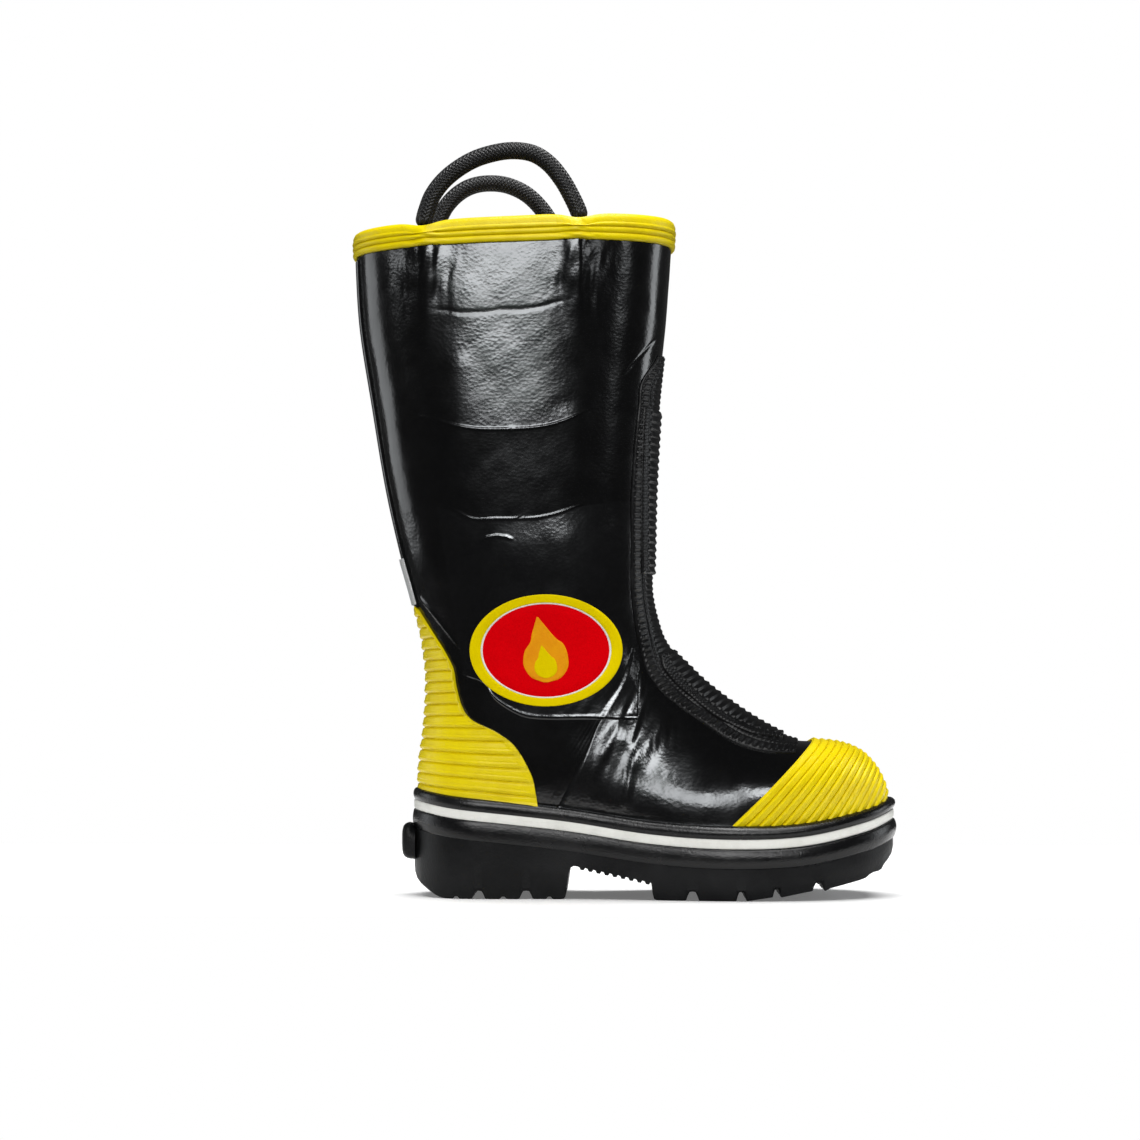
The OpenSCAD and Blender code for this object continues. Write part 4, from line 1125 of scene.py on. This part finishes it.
def toe_guard_piece():
    """Guard over the toe from the top line down to the foxing, its ribs fanned out."""
    rows = 420
    theta = np.radians(np.linspace(FAN_START, FAN_END, rows))
    near = fan_reach(theta, True)
    far = np.maximum(fan_reach(theta, False), near + 0.4)
    s = np.linspace(-1, 1, 150)[None, :]
    r = near[:, None] + (far - near)[:, None] * s * s
    x = FAN_X - r * np.cos(theta)[:, None]
    z = FAN_Z - r * np.sin(theta)[:, None]
    side = np.where(s < 0, LATERAL, MEDIAL) + 0 * x
    base = on_side(x, z, side)
    angle = np.degrees(theta)[:, None] + 0 * s
    phase = (angle - FAN_START) / TOE_RIB + 0.07 * waves(x, base[..., 1], z, 19, 40)
    rib = 0.25 + 0.75 * saw(1 - (phase - np.floor(phase)), 0.3)
    rib = rib + 0.1 * waves(x, base[..., 1] * 0.3, z, 23, 9) - 0.7 * groove(phase, 0.06)
    lead = smooth(angle, FAN_START, FAN_START + 0.35)
    tail = 1 - smooth(angle, FAN_END - 1.2, FAN_END)
    h = 1.2 + 1.4 * rib * lead * tail
    core = np.array([100.0, 0, 50.0])
    layer_on("toe_guard_ribbed", base, core, 0.1, h, YELLOW_RUBBER, "yellow_rubber", "toe_guard")


toe_guard_piece()


# ---- Shin guard and its overlays ----
SHIN_EDGE = [(22, 330), (12, 313), (9.5, 295), (7, 270), (5, 235), (4.8, 205), (5.5, 180), (9, 155),
             (15, 134), (27, 120), (39, 111), (50, 104), (60, 97), (71, 91.5), (84, 88), (95, 87),
             (104, 87)]
SHIN_OVERLAY_EDGE = [(12, 297), (11, 285), (10, 250), (10, 215), (10.5, 196)]
INSTEP_OVERLAY_EDGE = [(22, 146), (24, 138), (30, 130), (38, 122.5), (48.5, 113.6), (58.7, 106.6),
                       (70, 101), (81, 97), (92, 95.5), (97, 95)]


def front_grid(edge, rows, columns):
    """Grid down the front between mirrored side edges: its points, the distance down the front,
    the signed distance across and the half width."""
    p = np.array(edge, float)
    t = ring_of(p[:, 0], p[:, 1])
    a = angle_of(p[:, 0], p[:, 1], t)
    places = np.stack([t, a], 1)
    q = along(places, np.linspace(0, len(edge) - 1, rows))
    v = np.linspace(-1, 1, columns)[None, :]
    grid = skin(q[:, :1] + 0 * v, q[:, 1:] * v)
    middle = grid[:, columns // 2]
    down = np.concatenate([[0], np.cumsum(np.linalg.norm(np.diff(middle, axis=0), axis=1))])
    steps = np.linalg.norm(np.diff(grid, axis=1), axis=2)
    across = np.concatenate([np.zeros((rows, 1)), np.cumsum(steps, axis=1)], 1)
    width = across[:, -1:]
    return grid, down[:, None] + 0 * across, across - width / 2, width / 2 + 0 * across


def guard_layer(name, node, edge, rows, columns, pattern, floor):
    grid, down, across, half = front_grid(edge, rows, columns)
    core = np.stack([np.clip(grid[..., 0], -60, 80) - 30, 0 * grid[..., 1], grid[..., 2] - 10], -1)
    layer_on(name, grid, core, floor, pattern(down, across, half), GUARD_BLACK, "guard_rubber", node)


# spacing of the guards' cells, dots and ribs
CELL_PITCH = 3.4
DOT_PITCH = 2.1
RIB_PITCH = 4.6


def base_pattern(down, across, half):
    """Border of short cells along each side edge, with fine ribs between."""
    inset = half - np.abs(across)
    length = down[-1, 0]
    edge = np.minimum(inset, np.minimum(down, length - down) + 2)
    border = smooth(edge, 0.0, 0.7)
    cell = 0.5 + 0.5 * np.cos(2 * np.pi * down / CELL_PITCH)
    cells = (cell ** 0.7) * smooth(inset, 1.6, 2.2) * (1 - smooth(inset, 7.4, 8.0))
    cord_line = 0.55 * hump(inset, 10.8, 0.7) * (0.6 + 0.4 * np.sin(2 * np.pi * down / 2.2))
    ribs = cell * smooth(inset, 12.5, 13.5)
    valley = 0.4 * hump(inset, 9.2, 0.7)
    return 0.35 + 0.95 * border + 0.85 * cells * border - valley + cord_line + 0.6 * ribs


def overlay_pattern(down, across, half):
    """Two rows of dots along each side edge, with shingled ribs between."""
    inset = half - np.abs(across)
    length = down[-1, 0]
    edge = np.minimum(inset, np.minimum(down, length - down))
    border = smooth(edge, 0.0, 0.8)
    turn = 2 * np.pi * down / DOT_PITCH
    dots = 0.5 * (0.5 + 0.5 * np.sin(turn)) * hump(inset, 1.9, 0.75)
    second = 0.45 * (0.5 + 0.5 * np.sin(turn + 2)) * hump(inset, 4.3, 0.75)
    rib = saw(down / RIB_PITCH, 0.35) * smooth(inset, 5.6, 6.8)
    return 1.6 + 1.0 * border + dots + second + 1.1 * rib * border


guard_layer("shin_guard_base", "shin_guard", SHIN_EDGE, 620, 130, base_pattern, 0.05)
for part, edge in (("shin", SHIN_OVERLAY_EDGE), ("instep", INSTEP_OVERLAY_EDGE)):
    guard_layer(part + "_overlay_ribbed", part + "_overlay", edge, 300, 100, overlay_pattern, 0.4)


# ---- Thin plies on the leg ----
def back_strip(name, node, top, bottom, reach, out, floor, material, slot, rows, pattern=None):
    """Strip down the back from top to bottom, reaching forward on both sides, between two layers."""
    z = np.linspace(top, bottom, rows)[:, None]
    s = np.linspace(-1, 1, 61)[None, :]
    x = back_x(z) + reach * s * s + 0 * z
    side = np.where(s < 0, LATERAL, MEDIAL) + 0 * x
    base = on_side(x, z + 0 * x, side)
    edge = smooth(1 - np.abs(s), 0, 0.06) + 0 * z
    h = floor + 0.12 + (out - floor - 0.12) * edge
    if pattern is not None:
        h = h + pattern(s + 0 * z)
    layer_on(name, base, np.array([0.0, 0, 280.0]), floor, h, material, slot, node)


def backstay_ridges(s):
    """Two raised lines near each edge of the strip."""
    return 0.55 * hump(np.abs(s), 0.8, 0.045) + 0.3 * hump(np.abs(s), 0.93, 0.03)


back_strip("backstay_strip", "backstay", 389.5, 176, 3.4, 1.1, 0.02, BLACK_SKIN, "black_rubber", 160,
           backstay_ridges)
back_strip("reflective_patch", "reflective_strip", 206, 178, 2.6, 2.5, 1.0, TAPE, "reflective_tape", 30)


def over_vamp(p):
    """1 where a place lies on the vamp, 0 on the leg panel, eased across the seam."""
    t = ring_of(p[..., 0], p[..., 2])
    a = angle_of(p[..., 0], p[..., 2], t)
    return smooth(t - seam_ring(a), -0.12, -0.07)


# thickness of the ankle ply
PLY = 0.9


def ankle_patch(side):
    """Thin ply over the ankle with a welted lower seam; the quarter seam shows through it."""
    lower = [(-96, 134), (-83.5, 129), (-76.5, 119), (-62, 110), (-48, 107.5), (-20, 107.5), (9, 107)]
    upper = [(-112, 236), (-90, 228.5), (-76, 228), (-55, 228), (-41, 230.5), (-20, 236), (13, 240)]
    u = np.linspace(0, 6, 170)
    v = np.linspace(0, 1, 170)[:, None, None]
    p = between(lower, upper, u, v)
    base = on_side(p[..., 0], p[..., 1], side)
    n = grid_normals(base, np.array([-45.0, 0, 170.0]))
    soft = 0.9 + 9 * smooth(base[..., 2], 122, 142)
    front = smooth((6 - u[None]) * 24 / soft, 0, 1)
    back = smooth(u[None] * 17, 0, 16)
    up = v[..., 0] * 110
    ply_edge = smooth(up, 0, 0.9) * front * back * (1 - smooth(v[..., 0], 0.85, 1.0))
    welt = 0.22 * hump(up, 1.5, 0.9)
    h = skin_relief(base) + 0.06 + 0.45 * ply_edge + welt + 0.45 * over_vamp(base)
    outer = base + n * h[..., None]
    inner = base + n * (h - PLY)[..., None]
    ply = skin_mesh("ankle_ply_" + WORD[side], outer, inner, BLACK_SKIN, 13)
    place(ply, "black_rubber", "ankle_patch_" + WORD[side])


ankle_patch(LATERAL)
ankle_patch(MEDIAL)


# ---- Badge: border, pinline, field and a plain flame ----
# middle of the badge, and its half width and half height
BADGE_X = -46.0
BADGE_Z = 149.0
BADGE_W = 45.5
BADGE_H = 33.5


def badge_ring(name, node, inner, outer, lo, hi, material, slot):
    """Raised oval ring between two shares of the badge's size, with rounded edges."""
    q = np.linspace(0, 2 * np.pi, 200, endpoint=False)
    soft = min(0.35, (hi - lo) * 0.5)
    turn = soft / BADGE_H
    crown = (outer - inner) * 0.3
    section = [(outer, lo), (outer, hi - soft), (outer - turn, hi), (outer - crown, hi + 0.05),
               (inner + crown, hi + 0.05), (inner + turn, hi), (inner, hi - soft), (inner, lo)]
    rings = np.array([badge_oval(share, q, d) for share, d in section])
    rings = np.transpose(rings, (1, 0, 2))
    return place(loop_mesh(name, rings, material, True, 40), slot, *node)


def badge_lift(x, z):
    """Outward direction of the lateral flank at places of the side view."""
    e = 1.0
    dx = on_side(x + e, z, LATERAL) - on_side(x - e, z, LATERAL)
    dz = on_side(x, z + e, LATERAL) - on_side(x, z - e, LATERAL)
    n = np.cross(dx, dz)
    n = n / np.linalg.norm(n, axis=-1, keepdims=True)
    return np.where(n[..., 1:2] > 0, -n, n)


def badge_oval(share, q, d):
    """Oval of a share of the badge's size, raised by d above the shaft."""
    x = BADGE_X + BADGE_W * share * np.cos(q)
    z = BADGE_Z + BADGE_H * share * np.sin(q)
    return on_side(x, z, LATERAL) + badge_lift(x, z) * d


def badge_disc(name, node, share, lo, hi, material, slot):
    """Flat oval of a share of the badge's size, from layer lo to layer hi."""
    q = np.linspace(0, 2 * np.pi, 160, endpoint=False)
    section = [(0.001, lo), (share * 0.5, lo), (share, lo), (share, hi - 0.1), (share - 0.006, hi)]
    section += [(share * f, hi) for f in (0.8, 0.6, 0.4, 0.2)] + [(0.001, hi)]
    rings = np.array([badge_oval(r, q, d) for r, d in section])
    return place(loop_mesh(name, rings, material, False, 40), slot, *node)


FLAME_LEFT = [(-1.5, -19), (-9, -16), (-13.5, -9), (-13, -1), (-9.5, 5), (-8.5, 10), (-5.5, 20)]
FLAME_RIGHT = [(1.5, -19), (9, -16.5), (13.5, -10), (13.2, -2.5), (10.5, 4), (5.5, 8), (-4.6, 20)]


def flame(name, node, scale, drop, lo, hi, material, slot):
    """Flame of a share of full size, moved down by drop, from layer lo to layer hi."""
    u = np.linspace(0, 6, 60)
    v = np.linspace(0, 1, 24)[:, None, None]
    p = between(FLAME_LEFT, FLAME_RIGHT, u, v) * scale
    x = BADGE_X + p[..., 0]
    z = BADGE_Z + p[..., 1] - drop
    base = on_side(x, z, LATERAL)
    n = badge_lift(x, z)
    edge = np.minimum(v[..., 0], 1 - v[..., 0]) * 2
    h = lo + (hi - lo) * smooth(edge, 0, 0.12) + 0 * x
    sheet = sheet_mesh(name, base + n * h[..., None], base + n * (lo - 0.5), material, 40)
    place(sheet, slot, *node)


badge_ring("badge_border_ring", ["badge_border"], 0.855, 1.0, 0.35, 1.75, BADGE_YELLOW, "yellow_rubber")
badge_ring("badge_pinline", [], 0.825, 0.858, 0.35, 1.5, BADGE_WHITE, "pale_rubber")
badge_disc("badge_red_field", ["badge_field"], 0.828, 0.35, 1.42, BADGE_RED, "red_rubber")
flame("badge_flame_outer", ["badge_flame"], 1.0, 0.0, 1.3, 1.75, BADGE_AMBER, "amber_rubber")
flame("badge_flame_heart", [], 0.5, 7.0, 1.7, 2.0, BADGE_YELLOW, "yellow_rubber")


# ---- Rope handles ----
def rim_z(x):
    """Height of the tilted top edge at x."""
    return 402 + (x + 165) * 7 / 196


def rope_y(x, z, side):
    """Sideways place of a rope leg's centreline, under the skin without its bulge."""
    t = ring_of(x, z)
    plain = skin(t, side * angle_of(x, z, t), 0.0, 0.0)
    return float(plain[1]) - side * (ROPE_DEPTH - 0.25)


def hinge_point(x, side):
    return np.array([x, rope_y(x, rim_z(x) - 1, side), rim_z(x) + HINGE_LIFT])


def rope_path(side):
    """Centre line of a handle's loop from its back hinge point to its front one."""
    p0 = hinge_point(HANDLE_BACK_X, side)
    p1 = hinge_point(float(front_x(side)), side)
    shape = np.array(ARCH[side], float)
    s = along(shape, np.linspace(0, len(shape) - 1, 400))
    arch = p0 + (p1 - p0) * s[:, :1]
    arch[:, 2] += HANDLE_RISE * s[:, 1]
    return arch


def resample(path, step):
    """Points at even steps along a path, and their distances along it."""
    gaps = np.linalg.norm(np.diff(path, axis=0), axis=1)
    s = np.concatenate([[0], np.cumsum(gaps)])
    count = int(s[-1] / step) + 1
    w = np.linspace(0, s[-1], count)
    return np.stack([np.interp(w, s, path[:, i]) for i in range(3)], 1), w


# strands of the braid, and the length of one turn of a strand
STRANDS = 10
BRAID_PITCH = 24.0


def braid_height(s, q):
    """Over-and-under relief of a round braid at length s and angle q."""
    up = STRANDS * (q / (2 * np.pi) + s / BRAID_PITCH)
    down = STRANDS * (q / (2 * np.pi) - s / BRAID_PITCH)
    over = np.sin(np.pi * up) * np.sin(np.pi * down)
    ridge_up = np.abs(np.cos(np.pi * up)) ** 1.3
    ridge_down = np.abs(np.cos(np.pi * down)) ** 1.3
    return 0.65 * np.where(over > 0, ridge_up, ridge_down)


def rope_tube(name, path, body, node, sides=96, step=0.3, round_ends=True):
    """Braided tube along a path; without round ends it is a dull stub with flat ones."""
    line, s = resample(path, step)
    tangent = np.gradient(line, axis=0)
    tangent /= np.linalg.norm(tangent, axis=1)[:, None]
    across = np.cross(tangent, np.array([0.0, 1.0, 0.02]))
    across /= np.linalg.norm(across, axis=1)[:, None]
    other = np.cross(tangent, across)
    q = np.linspace(0, 2 * np.pi, sides, endpoint=False)[None, :]
    radius = ROPE_D / 2 - 0.58 + braid_height(s[:, None], q)
    spoke = np.cos(q)[..., None] * across[:, None] + np.sin(q)[..., None] * other[:, None]
    rings = line[:, None] + radius[..., None] * spoke
    if round_ends:
        ends = []
        for at, sign, row in ((0, -1, rings[0]), (-1, 1, rings[-1])):
            cap = []
            for f in (0.25, 0.5, 0.75, 0.93, 0.995):
                tip = sign * tangent[at] * f * (ROPE_D / 2 - 0.1)
                cap.append(line[at] + (row - line[at]) * math.sqrt(1 - f * f) + tip)
            ends.append(np.array(cap))
        rings = np.concatenate([ends[0][::-1], rings, ends[1]])
    obj = loop_mesh(name, rings, ROPE if round_ends else ROPE_END, False, 60)
    return place(obj, "rope", node, body=body)


# height of the lower ends of the ropes inside the shaft
ROPE_LOW = 370.0


def fixed_ends(side, name, node):
    """The two ends of one rope, which stay inside the shaft."""
    for suffix, x in (("", HANDLE_BACK_X), ("_front", float(front_x(side)))):
        top = hinge_point(x, side) - np.array([0, 0, ROPE_D / 2 + 0.35])
        low_x = x + (3.6 if x < -70 else -0.8)
        low = np.array([low_x, rope_y(low_x, ROPE_LOW, side), ROPE_LOW])
        rope_tube(name + suffix, np.linspace(top, low, 30), "root", node, 48, 0.8, False)


for side, word in WORD.items():
    path = rope_path(side)
    loop = rope_tube("rope_loop_" + word, path, "handle_" + word, "handle_" + word)
    fixed_ends(side, "rope_leg_" + word, "rope_ends_" + word)


# ---- Insole and the hidden CAD nodes ----
def insole_piece():
    """Footbed with a hollow under the heel."""
    x0, x1, inset = -96.0, 129.0, 20.0
    f = np.linspace(0, 1, 90)
    x = x0 + (x1 - x0) * (0.5 - 0.5 * np.cos(np.pi * f))
    px = SOLE_MID + (x - SOLE_MID) / (1 - inset / SOLE_HALF)
    end = np.sqrt(np.clip(1 - np.abs((x - (x0 + x1) / 2) / ((x1 - x0) / 2 + 0.5)) ** 8, 0.002, 1))
    wl = half_width(px, LATERAL) * (1 - inset / SOLE_HALF_WIDTH) * end
    wm = half_width(px, MEDIAL) * (1 - inset / SOLE_HALF_WIDTH) * end
    rings = []
    for i in range(len(x)):
        base = float(parting(x[i]))
        heel = float(hump(x[i], -65, 32))
        row = [(-wl[i], base + 21.6), (-wl[i], base + 19.6), (-wl[i] * 0.97, base + 19.0)]
        row += [(wm[i] * 0.97, base + 19.0), (wm[i], base + 19.6), (wm[i], base + 21.6)]
        for s in (0.96, 0.85, 0.6, 0.3, 0, -0.3, -0.6, -0.85, -0.96):
            w = wm[i] if s > 0 else wl[i]
            row.append((s * w, base + 22.6 - 0.9 * heel * (1 - s * s) + 0.3 * s * s))
        rings.append([(x[i], y, z) for y, z in row])
    obj = loop_mesh("insole_footbed", np.array(rings, float), INSOLE_CLOTH, False, 50)
    return place(obj, "insole_foam", "insole")


insole_piece()

# finish of the CAD nodes that no piece above stands for
HIDDEN = {
    "midsole_filler": SOLE_BLACK, "steel_shank": STEEL, "puncture_plate": STEEL,
    "heel_counter": SOLE_BLACK, "steel_toe_cap": STEEL, "toe_cap_bumper": SOLE_BLACK,
    "shin_padding": FOAM, "insole_board": BOARD,
}
for node, material in HIDDEN.items():
    for slot in frame["nodes"][node].material_slots:
        slot.material = material


# ---- Stage ----
def make_floor():
    material = bpy.data.materials.new("pale_floor")
    material.use_nodes = True
    shader = material.node_tree.nodes["Principled BSDF"]
    shader.inputs["Base Color"].default_value = (0.9, 0.9, 0.9, 1)
    shader.inputs["Roughness"].default_value = 0.9
    shader.inputs["Specular IOR Level"].default_value = 0.1
    shader.inputs["Emission Color"].default_value = (1, 1, 1, 1)
    shader.inputs["Emission Strength"].default_value = 0.15
    data = bpy.data.meshes.new("floor")
    corners = [(-0.6, -0.15, 0), (0.55, -0.15, 0), (0.55, 0.5, 0), (-0.6, 0.5, 0)]
    data.from_pydata(corners, [], [(0, 1, 2, 3)])
    floor = bpy.data.objects.new("floor", data)
    data.materials.append(material)
    bpy.context.scene.collection.objects.link(floor)


def soft_box(name, place_at, aim, width, height, power, color=(1, 1, 1), shape="RECTANGLE"):
    data = bpy.data.lights.new(name, "AREA")
    data.shape = shape
    data.size = width
    data.size_y = height
    data.energy = power
    data.color = color
    light = bpy.data.objects.new(name, data)
    light.location = place_at
    light.rotation_euler = (Vector(aim) - Vector(place_at)).to_track_quat("-Z", "Y").to_euler()
    bpy.context.scene.collection.objects.link(light)
    return light


def shine_on(light, *names, others=False):
    """Let a light reach only the named pieces, or with others all meshes but them and the floor."""
    lit = bpy.data.collections.new("lit_by_" + light.name)
    for obj in bpy.data.objects:
        named = obj.name in names
        if obj.type == "MESH" and (named != others) and not (others and obj.name == "floor"):
            lit.objects.link(obj)
    light.light_linking.receiver_collection = lit


def make_world():
    world = bpy.data.worlds.new("studio")
    world.use_nodes = True
    nodes = world.node_tree.nodes
    links = world.node_tree.links
    back = nodes["Background"]
    back.inputs["Color"].default_value = (1, 1, 1, 1)
    back.inputs["Strength"].default_value = 0.06
    seen = nodes.new("ShaderNodeBackground")
    seen.inputs["Color"].default_value = (1, 1, 1, 1)
    seen.inputs["Strength"].default_value = 1.0
    path = nodes.new("ShaderNodeLightPath")
    mix = nodes.new("ShaderNodeMixShader")
    links.new(path.outputs["Is Camera Ray"], mix.inputs[0])
    links.new(back.outputs[0], mix.inputs[1])
    links.new(seen.outputs[0], mix.inputs[2])
    links.new(mix.outputs[0], nodes["World Output"].inputs["Surface"])
    bpy.context.scene.world = world


make_floor()
make_world()
bpy.context.scene.view_settings.view_transform = "Standard"
COOL = (0.94, 0.975, 1.0)
SHAFT = ["leg_lateral_skin", "leg_medial_skin", "ankle_ply_lateral", "ankle_ply_medial",
         "backstay_strip"]
GLOSSY = SHAFT + ["vamp_skin"]
GUARDS = ["shin_guard_base", "shin_overlay_ribbed", "instep_overlay_ribbed"]
shine_on(soft_box("floor_light", (0.0, 0.4, 2.4), (0.0, 0.15, 0.0), 3.0, 3.0, 130), "floor")
shine_on(soft_box("shaft_panel", (-0.3, -2.6, 1.09), (-0.07, 0, 0.4), 1.5, 0.62, 38, COOL, "ELLIPSE"),
         *SHAFT)
shine_on(soft_box("right_shoulder", (3.1, -2.6, 1.12), (0, 0, 0.38), 0.5, 0.3, 3, COOL), *SHAFT)
shine_on(soft_box("left_shoulder", (-4.4, -2.0, 1.35), (-0.14, 0, 0.38), 0.8, 0.3, 6, COOL), *SHAFT)
shine_on(soft_box("vamp_panel", (-0.52, -2.6, 0.42), (0.03, 0, 0.06), 0.5, 0.72, 16, COOL), "vamp_skin")
shine_on(soft_box("ankle_panel", (0.25, -2.5, 0.75), (0.01, 0, 0.1), 0.7, 0.65, 28, COOL),
         "vamp_skin", "ankle_ply_lateral")
shine_on(soft_box("front_key", (-0.15, -2.6, 1.32), (-0.07, 0, 0.3), 1.7, 1.15, 54),
         *GLOSSY, others=True)
shine_on(soft_box("high_key", (0.3, -1.2, 2.3), (0.05, 0, 0.15), 1.2, 1.0, 20),
         *GLOSSY, others=True)
shine_on(soft_box("top_panel", (0.1, 0.0, 1.7), (0.05, 0, 0.1), 0.8, 0.6, 21),
         *GLOSSY, *GUARDS, others=True)
soft_box("left_panel", (-1.9, 0.3, 0.55), (-0.1, 0, 0.25), 0.8, 1.3, 8, COOL)
soft_box("right_panel", (1.9, 0.3, 0.6), (0.0, 0, 0.25), 0.5, 1.3, 9, COOL)
